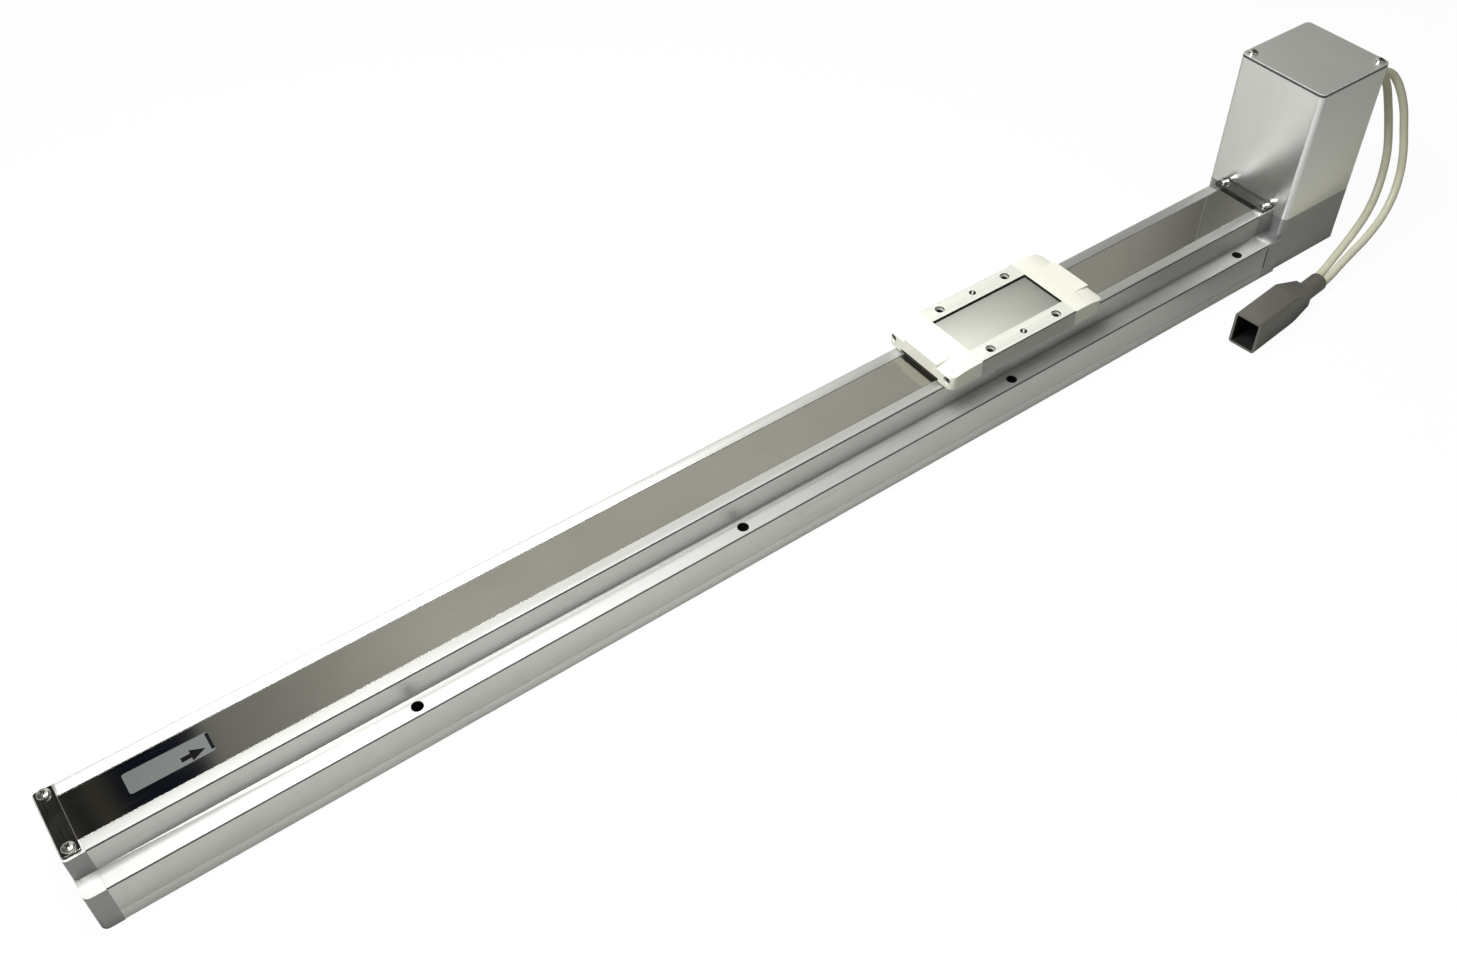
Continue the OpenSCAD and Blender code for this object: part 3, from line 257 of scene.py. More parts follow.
def drawn_grain(desk: Desk, start: Node) -> Socket:
    """Stretch noise along one direction into drawn or brushed lines.

    Args:
        desk: Where the nodes go.
        start: The group's inputs.

    Returns:
        The lines.
    """
    scaled = desk.add("ShaderNodeVectorMath", {"operation": "MULTIPLY"})
    desk.feed(scaled, 0, start.outputs["Vector"])
    desk.feed(scaled, 1, start.outputs["Scale"])
    coarse = desk.noise(scaled.outputs[0], 1.0, 3.0, 0.65)
    fine = desk.noise(scaled.outputs[0], 4.3, 2.0)
    return desk.ramp(desk.plus(desk.times(coarse, 0.6), desk.times(fine, 0.4)), 0.3, 0.7)


def slow_clouds(desk: Desk, start: Node) -> Socket:
    """Shape low noise into slow uneven patches.

    Args:
        desk: Where the nodes go.
        start: The group's inputs.

    Returns:
        The patches.
    """
    where, size = start.outputs["Vector"], start.outputs["Size"]
    noise = desk.add("ShaderNodeTexNoise", Vector=where, Scale=size, Detail=4.0, Roughness=0.55)
    desk.feed(noise, "Distortion", 0.4)
    return desk.ramp(noise.outputs[0], 0.35, 0.68)


def small_specks(desk: Desk, start: Node) -> Socket:
    """Keep the middles of some cells as small marks.

    Args:
        desk: Where the nodes go.
        start: The group's inputs.

    Returns:
        The marks.
    """
    where, count = start.outputs["Vector"], start.outputs["Count"]
    cells = desk.add("ShaderNodeTexVoronoi", {"feature": "F1"}, Vector=where, Scale=count)
    dot = desk.ramp(cells.outputs["Distance"], 0.05, 0.16, 1.0, 0.0)
    return desk.times(dot, desk.ramp(desk.noise(where, 60.0, 2.0), 0.52, 0.66))


def thin_scratches(desk: Desk, start: Node) -> Socket:
    """Join three turned sets of thin lines.

    Args:
        desk: Where the nodes go.
        start: The group's inputs.

    Returns:
        The scratches.
    """
    sets = []
    for turn, length in ((0.35, 26.0), (-0.8, 34.0), (1.9, 22.0)):
        place = desk.add(
            "ShaderNodeMapping", Vector=start.outputs["Vector"], Rotation=(0.0, 0.0, turn),
            Scale=(length, 1500.0, length),
        )
        sets.append(desk.ramp(desk.noise(place.outputs[0], 1.0, 1.0), 0.7, 0.76))
    return desk.maths("MAXIMUM", desk.maths("MAXIMUM", sets[0], sets[1]), sets[2])


GRAIN = Effect("drawn_grain", "Line", drawn_grain, (("Scale", "NodeSocketVector", (10.0, 900.0, 900.0)),))
CLOUDS = Effect("slow_clouds", "Patch", slow_clouds, (("Size", "NodeSocketFloat", 30.0),))
SPECKS = Effect("small_specks", "Speck", small_specks, (("Count", "NodeSocketFloat", 500.0),))
SCRATCHES = Effect("thin_scratches", "Scratch", thin_scratches)


# ---- finishes


@dataclass(frozen=True)
class Finish:
    """One procedural finish.

    Args:
        name: The material's name.
        colour: Its main colour.
        tone: The colour its patches lean to.
        metallic: How metallic it is.
        rough: Its middle roughness.
        rough_span: How far grain and patches move the roughness.
        grain: Scale of the drawn lines along X, Y and Z, or None.
        depth: Height of the lines or the texture.
        texture: Scale of an even fine texture, or 0.
        patch: Scale of the slow patches.
        patch_mix: How much the patches change the colour.
        speck_mix: How much the small marks change the colour.
        speck_colour: The colour of the small marks.
        scratch: How much the scratches change the roughness.
    """

    name: str
    colour: Colour
    tone: Colour
    metallic: float = 1.0
    rough: float = 0.35
    rough_span: float = 0.08
    grain: Point | None = None
    depth: float = 0.004
    texture: float = 0.0
    patch: float = 25.0
    patch_mix: float = 0.4
    speck_mix: float = 0.0
    speck_colour: Colour = (0.05, 0.05, 0.05)
    scratch: float = 0.0
    grain_mix: ClassVar[float] = 0.35
    grain_shade: ClassVar[float] = 0.9
    bump: ClassVar[float] = 0.6
    made: ClassVar[dict[str, bpy.types.Material]] = {}

    def build(self) -> bpy.types.Material:
        """Make the material on its first use.

        Returns:
            The material.
        """
        if self.name in self.made:
            return self.made[self.name]
        material = self.made[self.name] = bpy.data.materials.new(self.name)
        material.use_nodes = True
        material.diffuse_color = rgba(self.colour)
        desk = Desk(material.node_tree)
        shader = material.node_tree.nodes["Principled BSDF"]
        where = desk.add("ShaderNodeTexCoord").outputs["Object"]
        patch = desk.effect(CLOUDS, Vector=where, Size=self.patch)
        colour = desk.mix(desk.times(patch, self.patch_mix), rgba(self.colour), rgba(self.tone))
        rough = desk.plus(self.rough - self.rough_span / 2, desk.times(patch, self.rough_span / 2))
        height: Socket | None = None
        if self.grain:
            height = desk.effect(GRAIN, Vector=where, Scale=self.grain)
            rough = desk.plus(rough, desk.times(height, self.rough_span))
            dark = tuple(self.grain_shade * channel for channel in self.colour)
            colour = desk.mix(desk.times(height, self.grain_mix), colour, rgba(dark))
        if self.texture:
            height = desk.noise(where, self.texture, 3.0, 0.6)
            rough = desk.plus(rough, desk.times(height, self.rough_span / 2))
        if self.speck_mix:
            amount = desk.times(desk.effect(SPECKS, Vector=where), self.speck_mix)
            colour = desk.mix(amount, colour, rgba(self.speck_colour))
        if self.scratch:
            rough = desk.plus(rough, desk.times(desk.effect(SCRATCHES, Vector=where), self.scratch))
        desk.feed(shader, "Base Color", colour)
        desk.feed(shader, "Roughness", desk.maths("MINIMUM", desk.maths("MAXIMUM", rough, 0.03), 0.95))
        shader.inputs["Metallic"].default_value = self.metallic
        if height is not None and self.depth:
            bump = desk.add("ShaderNodeBump", Height=height, Strength=self.bump, Distance=self.depth * MM)
            desk.feed(shader, "Normal", bump.outputs[0])
        return material


@dataclass(frozen=True)
class Dull(Finish):
    """A finish with no metal in it, such as a moulding, rubber or ink."""

    metallic: float = 0.0


ALONG_X: Point = (9.0, 1100.0, 1100.0)
ALONG_Y: Point = (1100.0, 9.0, 1100.0)
ALONG_Z: Point = (1100.0, 1100.0, 9.0)


class Finishes:
    """The finishes of the module's pieces."""

    ANODISED = Finish(
        "anodised_body", (0.61, 0.615, 0.6), (0.55, 0.56, 0.55), metallic=0.9, rough=0.48, grain=ALONG_X,
        depth=0.006, patch=12.0, speck_mix=0.25, scratch=0.06,
    )
    # Dark metal on the body's rounded edges and long chamfers: a painted dark reflection along them.
    DARK_EDGE = Finish("dark_edge_painted_reflection", (0.2, 0.205, 0.2), (0.26, 0.265, 0.26), grain=ALONG_X, depth=0.002)
    # Near-white lips in the flange grooves: a painted highlight on the lit lower face of each groove.
    GROOVE_LIP = Finish(
        "groove_lip_painted_highlight", (0.9, 0.9, 0.88), (0.82, 0.82, 0.8), metallic=0.2, rough=0.4, patch=30.0
    )
    COVER = Finish(
        "brushed_cover", (0.89, 0.9, 0.89), (0.82, 0.83, 0.82), rough=0.3, rough_span=0.03, grain=ALONG_Z,
        depth=0.0, patch=18.0, scratch=0.02,
    )
    # Brighter, more diffuse metal on the cover's front upright corners and on the cover's and lid's rounded
    # edges: a painted highlight.
    CORNER = Finish(
        "cover_corner_highlight", (0.92, 0.93, 0.92), (0.86, 0.87, 0.86), metallic=0.35, grain=ALONG_Z, depth=0.0
    )
    LID = Finish(
        "brushed_lid", (0.8, 0.805, 0.78), (0.74, 0.745, 0.72), metallic=0.75, rough=0.42, rough_span=0.1,
        grain=ALONG_Y, depth=0.002, patch=20.0, speck_mix=0.3, scratch=0.04,
    )
    # Dark grey on the lid's upright sides: a painted shade line under the lid's edge.
    LID_RIM = Finish("lid_rim_shade", (0.16, 0.16, 0.155), (0.12, 0.12, 0.115), rough=0.4, patch=80.0)
    HOUSING = Finish(
        "grey_cast_paint", (0.42, 0.42, 0.425), (0.38, 0.38, 0.385), metallic=0.5, rough=0.42,
        rough_span=0.1, texture=900.0, depth=0.01, patch=16.0, scratch=0.05,
    )
    LEDGE = Finish(
        "shaded_ledge", (0.3, 0.305, 0.3), (0.26, 0.265, 0.26), metallic=0.9, rough=0.45, grain=ALONG_X
    )
    # Darker cast paint of the near end block; on the housing's neck faces towards the near end it is painted
    # shade.
    NEAR_BLOCK = Finish(
        "cast_paint_and_shade", (0.3, 0.3, 0.31), (0.27, 0.27, 0.28), metallic=0.6, rough=0.45, rough_span=0.1,
        texture=900.0, depth=0.01, patch=16.0, scratch=0.05,
    )
    BAND = Finish(
        "polished_band", (0.5, 0.495, 0.46), (0.43, 0.42, 0.37), rough=0.06, rough_span=0.02,
        grain=(4.0, 700.0, 700.0), depth=0.0003, patch=22.0, patch_mix=0.5, scratch=0.05, speck_mix=0.12,
        speck_colour=(0.62, 0.58, 0.5),
    )
    CLAMP = Finish(
        "dark_clamp_plate", (0.09, 0.088, 0.08), (0.12, 0.117, 0.108), rough=0.2, grain=ALONG_Y,
        depth=0.003, patch=60.0,
    )
    CLAMP_EDGE = Finish("clamp_edge", (0.5, 0.49, 0.46), (0.4, 0.39, 0.37), rough=0.2, patch=200.0)
    FAR_CLAMP = Finish(
        "far_clamp_plate", (0.17, 0.17, 0.16), (0.2, 0.2, 0.19), rough=0.25, grain=ALONG_Y, depth=0.002,
        patch=60.0,
    )
    SCREW = Finish("plated_screw", (0.82, 0.82, 0.79), (0.66, 0.65, 0.61), rough=0.14, patch=400.0)
    # Dark grey in the screws' cross recesses: painted shade.
    RECESS = Finish("screw_recess_shade", (0.22, 0.22, 0.2), (0.3, 0.29, 0.27), rough=0.3, patch=600.0)
    SOCKET = Finish("socket_screw", (0.16, 0.16, 0.155), (0.22, 0.22, 0.21), rough=0.3, patch=500.0)
    BLACK_SCREW = Finish(
        "black_oxide_screw", (0.05, 0.05, 0.05), (0.09, 0.09, 0.09), metallic=0.6, rough=0.38,
        rough_span=0.1, patch=300.0,
    )
    PLUG_BAR = Finish("bright_plug_slot", (0.85, 0.85, 0.82), (0.78, 0.78, 0.75), metallic=0.3, patch=300.0)
    BORE = Finish(
        "threaded_bore", (0.95, 0.95, 0.9), (0.85, 0.85, 0.8), metallic=0.2, grain=(6.0, 6.0, 1500.0),
        depth=0.05,
    )
    SEAM = Dull("shadow_seam", (0.02, 0.021, 0.02), (0.03, 0.03, 0.03), rough=0.7, patch=200.0)
    # Near-black for hole walls, hole mouths and the plugs' faces: painted shade inside the holes.
    HOLE = Finish(
        "painted_hole_shade", (0.018, 0.018, 0.018), (0.03, 0.03, 0.03), metallic=0.3, rough=0.6, patch=200.0
    )
    TABLE = Finish(
        "fine_matt_table", (0.79, 0.81, 0.75), (0.75, 0.77, 0.71), metallic=0.3, rough=0.45, texture=2200.0,
        patch=30.0, speck_mix=0.08,
    )
    # Dark grey on the table's long sides: painted shade, with real milled lines along X.
    TABLE_SIDE = Finish(
        "milled_and_shaded_table_side", (0.3, 0.31, 0.29), (0.26, 0.27, 0.25), metallic=0.7, rough=0.4, grain=ALONG_X,
        depth=0.003,
    )
    # Near-black on the table's rounded edges and chamfers: a painted dark reflection.
    TABLE_EDGE = Finish(
        "table_edge_dark_reflection", (0.1, 0.105, 0.1), (0.14, 0.145, 0.14), metallic=0.5, rough=0.4, patch=60.0
    )
    PLATE = Finish(
        "cover_plate", (0.62, 0.64, 0.58), (0.58, 0.6, 0.54), metallic=0.12, rough=0.5, grain=ALONG_X,
        depth=0.003, patch=40.0, speck_mix=0.3, speck_colour=(0.34, 0.34, 0.3), scratch=0.08,
    )
    WHITE = Dull(
        "white_moulding", (0.78, 0.78, 0.71), (0.73, 0.73, 0.65), rough=0.4, texture=1500.0, depth=0.006,
        patch=60.0, speck_mix=0.15, speck_colour=(0.55, 0.53, 0.46),
    )
    WHITE_SIDE = Dull("shaded_white", (0.56, 0.57, 0.5), (0.52, 0.53, 0.46), rough=0.5, patch=40.0)
    FELT = Dull(
        "dense_felt", (0.03, 0.028, 0.025), (0.05, 0.048, 0.04), rough=0.9, texture=3500.0, depth=0.08
    )
    CABLE = Dull(
        "ivory_sheath", (0.72, 0.71, 0.57), (0.6, 0.59, 0.46), rough=0.36, texture=500.0, depth=0.02,
        patch=45.0, patch_mix=0.7, speck_mix=0.2, speck_colour=(0.24, 0.22, 0.17),
    )
    HOOD = Dull(
        "hood_moulding", (0.135, 0.13, 0.113), (0.16, 0.155, 0.137), rough=0.42, rough_span=0.1,
        texture=900.0, depth=0.012, patch=50.0,
    )
    # Lighter rims: a painted highlight on the hood's rounded edges.
    HOOD_RIM = Dull("hood_rim_highlight", (0.24, 0.235, 0.22), (0.2, 0.195, 0.18), rough=0.4, texture=900.0)
    # Near-black inside: painted shade in the hood's mouth.
    HOOD_INSIDE = Dull("hood_inside_shade", (0.003, 0.003, 0.003), (0.005, 0.005, 0.005), rough=0.8, texture=900.0)
    INSERT = Dull("insert_moulding", (0.003, 0.003, 0.003), (0.005, 0.005, 0.005), rough=0.8, texture=900.0)
    RUBBER = Dull("black_rubber", (0.03, 0.03, 0.03), (0.05, 0.05, 0.05), rough=0.7, texture=700.0)
    MAGNET = Dull("magnet_strip", (0.13, 0.1, 0.08), (0.16, 0.13, 0.1), rough=0.7, texture=700.0)
    GROUND = Finish(
        "steel_ground_bright", (0.56, 0.57, 0.58), (0.5, 0.51, 0.52), rough=0.22, grain=ALONG_X, depth=0.002
    )
    BALLS = Finish(
        "polished_balls", (0.72, 0.73, 0.74), (0.68, 0.69, 0.7), rough=0.08, rough_span=0.03, patch=300.0
    )
    SPRING = Finish("steel_blued", (0.2, 0.2, 0.21), (0.25, 0.25, 0.26), rough=0.3, patch=200.0)
    MACHINED = Finish(
        "milled_aluminium", (0.7, 0.71, 0.72), (0.64, 0.65, 0.66), rough=0.3, rough_span=0.1, grain=ALONG_Y
    )
    CORE = Finish(
        "stacked_core", (0.3, 0.3, 0.31), (0.25, 0.25, 0.26), rough=0.4, grain=(2000.0, 6.0, 6.0),
        depth=0.03,
    )
    COPPER = Finish(
        "wound_copper", (0.6, 0.27, 0.1), (0.5, 0.22, 0.08), rough=0.28, grain=(6.0, 1500.0, 1500.0),
        depth=0.08,
    )
    SEAL = Dull(
        "seal_moulding", (0.76, 0.73, 0.64), (0.7, 0.67, 0.58), rough=0.45, texture=900.0, depth=0.006
    )
    LABEL = Finish(
        "label_film", (0.4, 0.43, 0.43), (0.36, 0.39, 0.39), metallic=0.8, rough=0.2, rough_span=0.04,
        patch=50.0, texture=1200.0,
    )
    SIDE_LABEL = Finish(
        "side_label_film", (0.56, 0.58, 0.56), (0.5, 0.52, 0.5), metallic=0.6, rough=0.3, rough_span=0.06,
        patch=50.0, texture=1200.0,
    )
    INK = Dull("label_ink", (0.004, 0.004, 0.005), (0.007, 0.007, 0.007), rough=0.1, rough_span=0.02)


FINISH_NODES: tuple[tuple[Finish, str], ...] = (
    (Finishes.ANODISED, "body_extrusion"),
    (Finishes.COVER, "tower_cover bottom_cover"),
    (Finishes.HOUSING, "drive_housing"),
    (Finishes.NEAR_BLOCK, "near_end_block"),
    (Finishes.LID, "tower_lid"),
    (Finishes.BAND, "seal_band"),
    (Finishes.CLAMP, "near_band_clamp"),
    (Finishes.FAR_CLAMP, "far_band_clamp"),
    (Finishes.SCREW, "near_clamp_screws far_clamp_screws tower_lid_screws"),
    (Finishes.SOCKET, "holder_screws"),
    (Finishes.BLACK_SCREW, "near_end_screws guide_rail_screws drive_housing_screws bottom_cover_screws"),
    (Finishes.BLACK_SCREW, "tower_base_screws motor_screws table_screws"),
    (Finishes.GROUND, "guide_rail ball_screw slide_block ball_nut"),
    (Finishes.BALLS, "support_bearing_outer_ring support_bearing_inner_ring support_bearing_balls"),
    (Finishes.BALLS, "fixed_bearing_outer_rings fixed_bearing_inner_rings fixed_bearing_balls"),
    (Finishes.BALLS, "motor_bearings nut_balls guide_balls"),
    (Finishes.SPRING, "bearing_circlip bearing_lock_nut"),
    (Finishes.RUBBER, "near_bumper far_bumper cable_grommet timing_belt"),
    (Finishes.MAGNET, "seal_magnets"),
    (Finishes.MACHINED, "bearing_holder bearing_retainer motor_bracket motor_front_cap motor_rear_cap"),
    (Finishes.MACHINED, "screw_pulley motor_pulley"),
    (Finishes.CORE, "motor_stator motor_rotor"),
    (Finishes.COPPER, "motor_coils"),
    (Finishes.TABLE, "carriage_table"),
    (Finishes.PLATE, "centre_plate"),
    (Finishes.WHITE, "near_band_holder far_band_holder"),
    (Finishes.SEAL, "nut_end_rings"),
    (Finishes.FELT, "band_wipers"),
    (Finishes.CABLE, "power_cable signal_cable"),
    (Finishes.HOOD, "connector_hood"),
    (Finishes.INSERT, "connector_insert"),
)
NODE_FINISH: dict[str, Finish] = {node: finish for finish, nodes in FINISH_NODES for node in nodes.split()}


# ---- mesh helpers


FRAME: dict[str, object] = {}


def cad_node(name: str) -> Object:
    """Return the frame's object of a node."""
    return FRAME["nodes"][name]


@cache
def box_mm(name: str) -> tuple[Vector, Vector]:
    """Return the lowest and highest corner of a node."""
    low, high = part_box(name)
    return low / MM, high / MM


class Shaper:
    """Turns bmesh work into finished pieces."""

    @staticmethod
    def piece(
        name: str, bm: Mesh, *finishes: Finish, body: Body = Body.BASE, node: str = "", smooth: float = 40.0
    ) -> Object:
        """Make an object at the origin that rides on a body.

        Args:
            name: The piece's name.
            bm: The shape, which is freed.
            *finishes: Its materials, in slot order.
            body: The body it rides on.
            node: The frame node it stands for, if any.
            smooth: Angle above which an edge stays sharp.

        Returns:
            The new object.
        """
        mesh = bpy.data.meshes.new(name)
        bm.to_mesh(mesh)
        bm.free()
        for finish in finishes:
            mesh.materials.append(finish.build())
        mesh.shade_smooth()
        mesh.set_sharp_from_angle(angle=math.radians(smooth))
        obj = bpy.data.objects.new(name, mesh)
        bpy.context.scene.collection.objects.link(obj)
        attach(obj, body.value)
        if node:
            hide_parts(node)
        return obj

    @staticmethod
    def add(bm: Mesh, other: Mesh) -> None:
        """Join a second shape to the first, and free it.

        Args:
            bm: The shape that grows.
            other: The shape that is added.
        """
        mesh = bpy.data.meshes.new("joined")
        other.to_mesh(mesh)
        other.free()
        bm.from_mesh(mesh)
        bpy.data.meshes.remove(mesh)

    @staticmethod
    def at_each(places: Iterable[Sequence[float]], make: Callable[[int], Mesh]) -> Mesh:
        """Return one shape with a new part at each place.

        Args:
            places: Where the parts stand.
            make: Makes the part of an index, at the origin.

        Returns:
            The parts together.
        """
        bm = bmesh.new()
        for index, place in enumerate(places):
            one = make(index)
            Shaper.move(one, place)
            Shaper.add(bm, one)
        return bm

    @staticmethod
    def move(bm: Mesh, by: Sequence[float]) -> None:
        """Shift a whole shape."""
        bmesh.ops.translate(bm, vec=Vector(by) * MM, verts=bm.verts[:])

    @staticmethod
    def turn(bm: Mesh, degrees: float, axis: str = "Z") -> None:
        """Turn a whole shape about an axis through the origin."""
        spin = Matrix.Rotation(math.radians(degrees), 3, axis)
        bmesh.ops.rotate(bm, cent=(0, 0, 0), matrix=spin, verts=bm.verts[:])

    @staticmethod
    def paint(bm: Mesh, slot: int) -> None:
        """Give all faces of a shape one material slot."""
        for face in bm.faces:
            face.material_index = slot

    @staticmethod
    def sweep(bm: Mesh, extrusion: dict[str, list[object]], by: Sequence[float]) -> None:
        """Move what an extrusion made, and turn all faces outwards.

        Args:
            bm: The shape.
            extrusion: What the extruding operator returned.
            by: The way it goes.
        """
        grown = [item for item in extrusion["geom"] if isinstance(item, bmesh.types.BMVert)]
        bmesh.ops.translate(bm, vec=Vector(by) * MM, verts=grown)
        bmesh.ops.recalc_face_normals(bm, faces=bm.faces[:])

    @staticmethod
    def block(low: Sequence[float], high: Sequence[float]) -> Mesh:
        """Return a box.

        Args:
            low: Its lowest corner.
            high: Its highest corner.

        Returns:
            The box.
        """
        low, high = Vector(low), Vector(high)
        bm = bmesh.new()
        bmesh.ops.create_cube(bm, size=1.0)
        bmesh.ops.scale(bm, vec=(high - low) * MM, verts=bm.verts[:])
        Shaper.move(bm, (low + high) / 2)
        return bm

    @staticmethod
    def turned(profile: Sequence[Pair], steps: int) -> Mesh:
        """Return a solid spun about the Z axis.

        Args:
            profile: Radius and height along its outline.
            steps: Faces round the turn.

        Returns:
            The solid.
        """
        bm = bmesh.new()
        verts = [bm.verts.new((radius * MM, 0.0, height * MM)) for radius, height in profile]
        edges = [bm.edges.new(pair) for pair in zip(verts, verts[1:])]
        bmesh.ops.spin(
            bm, geom=[*verts, *edges], cent=(0, 0, 0), axis=(0, 0, 1), dvec=(0, 0, 0), angle=math.tau,
            steps=steps, use_merge=True,
        )
        bmesh.ops.remove_doubles(bm, verts=bm.verts[:], dist=1e-7)
        bmesh.ops.recalc_face_normals(bm, faces=bm.faces[:])
        return bm

    @staticmethod
    def carve(bm: Mesh, tool: Mesh, slots: int = 12) -> Mesh:
        """Return a shape with a second one cut out of it, both freed.

        Args:
            bm: The shape.
            tool: The shape that is cut out.
            slots: Material slots that are kept apart.

        Returns:
            What is left.
        """
        objects = []
        for shape in (bm, tool):
            mesh = bpy.data.meshes.new("carving")
            shape.to_mesh(mesh)
            shape.free()
            for _ in range(slots):
                mesh.materials.append(None)
            objects.append(bpy.data.objects.new("carving", mesh))
            bpy.context.scene.collection.objects.link(objects[-1])
        cutter = objects[0].modifiers.new("cut", "BOOLEAN")
        cutter.operation = "DIFFERENCE"
        cutter.solver = "EXACT"
        cutter.object = objects[1]
        bpy.context.view_layer.update()
        left = bmesh.new()
        left.from_object(objects[0], bpy.context.evaluated_depsgraph_get())
        for obj in objects:
            mesh = obj.data
            bpy.data.objects.remove(obj)
            bpy.data.meshes.remove(mesh)
        return left

    @staticmethod
    def soften(obj: Object, width: float, segments: int = 2, edge_slot: int = -1) -> None:
        """Round the sharp edges of a piece with a live bevel.

        Args:
            obj: The piece.
            width: Bevel width.
            segments: Steps across the bevel.
            edge_slot: Material slot of the rounded faces, or -1.
        """
        bevel = obj.modifiers.new("rounding", "BEVEL")
        bevel.width = width * MM
        bevel.segments = segments
        bevel.limit_method = "ANGLE"
        bevel.angle_limit = math.radians(30.0)
        bevel.harden_normals = True
        bevel.use_clamp_overlap = True
        bevel.material = edge_slot

    @staticmethod
    def copy_of(node: str) -> Mesh:
        """Return a welded copy of a frame node's mesh, with its flat faces joined.

        Args:
            node: The frame node's name.

        Returns:
            The copy.
        """
        bm = bmesh.new()
        bm.from_mesh(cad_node(node).data)
        bmesh.ops.remove_doubles(bm, verts=bm.verts[:], dist=1e-6)
        flat = math.radians(0.4)
        bmesh.ops.dissolve_limit(
            bm, angle_limit=flat, use_dissolve_boundaries=False, verts=bm.verts[:], edges=bm.edges[:]
        )
        return bm


@dataclass(frozen=True)
class Zone:
    """Faces of a piece that take another finish, told by their middle and normal."""

    finish: Finish
    holds: FaceTest


@dataclass(frozen=True)
class Groove:
    """A narrow shadow gap along a joint, between two corners."""

    low: Sequence[float]
    high: Sequence[float]
    finish: Finish = Finishes.SEAM

    def tool(self) -> Mesh:
        """Return the solid that is cut out."""
        return Shaper.block(self.low, self.high)


@dataclass(frozen=True)
class Sink:
    """The conical mouth of an upright hole, from its radius at the face to the hole's, painted near-black as
    shade.
    """

    top: Point
    outer: float
    inner: float
    finish: Finish = Finishes.HOLE
    above: ClassVar[float] = 0.5

    def tool(self) -> Mesh:
        """Make the cone, with a little more above it.

        Returns:
            The solid that is cut out.
        """
        deep = self.inner - self.outer
        edge, top = (self.outer, 0.0), (self.outer, self.above)
        tool = Shaper.turned([(0.0, deep), (self.inner, deep), edge, top, (0.0, self.above)], ROUND_STEPS)
        Shaper.move(tool, self.top)
        return tool


class Piece(Protocol):
    """Anything that makes one piece."""

    def build(self) -> Object:
        """Make the piece."""


@dataclass
class Polished:
    """A rigid node shown by its own welded copy, with rounded edges.

    Args:
        node: The frame node it stands for.
        body: The body it rides on.
        width: Width of the rounding.
        segments: Steps across the rounding.
        edge: Finish of the rounded edges, or None for the piece's own.
        zones: Faces that take other finishes.
        grooves: Shadow gaps and hole mouths cut into it.
    """

    node: str
    body: Body = Body.BASE
    width: float = 0.2
    segments: int = 2
    edge: Finish | None = None
    zones: Sequence[Zone] = ()
    grooves: Sequence[Groove | Sink] = ()

    def build(self) -> Object:
        """Make the piece and let it stand for its node.

        Returns:
            The piece.
        """
        bm = Shaper.copy_of(self.node)
        finishes = [NODE_FINISH[self.node]] + ([self.edge] if self.edge else [])
        for zone in self.zones:
            for face in bm.faces:
                if zone.holds(face.calc_center_median() / MM, face.normal):
                    face.material_index = len(finishes)
            finishes.append(zone.finish)
        for groove in self.grooves:
            tool = groove.tool()
            Shaper.paint(tool, len(finishes))
            finishes.append(groove.finish)
            bm = Shaper.carve(bm, tool)
        obj = Shaper.piece(f"{self.node}_shown", bm, *finishes, body=self.body, node=self.node)
        if self.width:
            Shaper.soften(obj, self.width, self.segments, edge_slot=1 if self.edge else -1)
        return obj


# ---- face tests


def bores(places: Sequence[Sequence[float]], radius: float) -> FaceTest:
    """Return a test for the walls of upright round holes.

    Args:
        places: Hole centres.
        radius: Largest distance of a wall from its centre.

    Returns:
        The test.
    """

    def holds(middle: Vector, normal: Vector) -> bool:
        """Tell whether a face is the wall of one of the holes."""
        near = any((middle.xy - Vector(place[:2])).length < radius for place in places)
        return near and abs(normal.z) < 0.5

    return holds


def chamfer(_: Vector, normal: Vector) -> bool:
    """Tell whether a face is a long chamfer."""
    return abs(normal.y) > 0.5 and abs(normal.z) > 0.5


def upright(_: Vector, normal: Vector) -> bool:
    """Tell whether a face stands upright."""
    return abs(normal.z) < 0.3


def facing_near_end(_: Vector, normal: Vector) -> bool:
    """Tell whether a face looks towards the near end."""
    return normal.x < -0.9


def front_corner(_: Vector, normal: Vector) -> bool:
    """Tell whether a face is part of an upright rounded corner at the front."""
    return normal.y < -0.25 and abs(normal.z) < 0.3 and abs(normal.x) > 0.25


# ---- small fittings


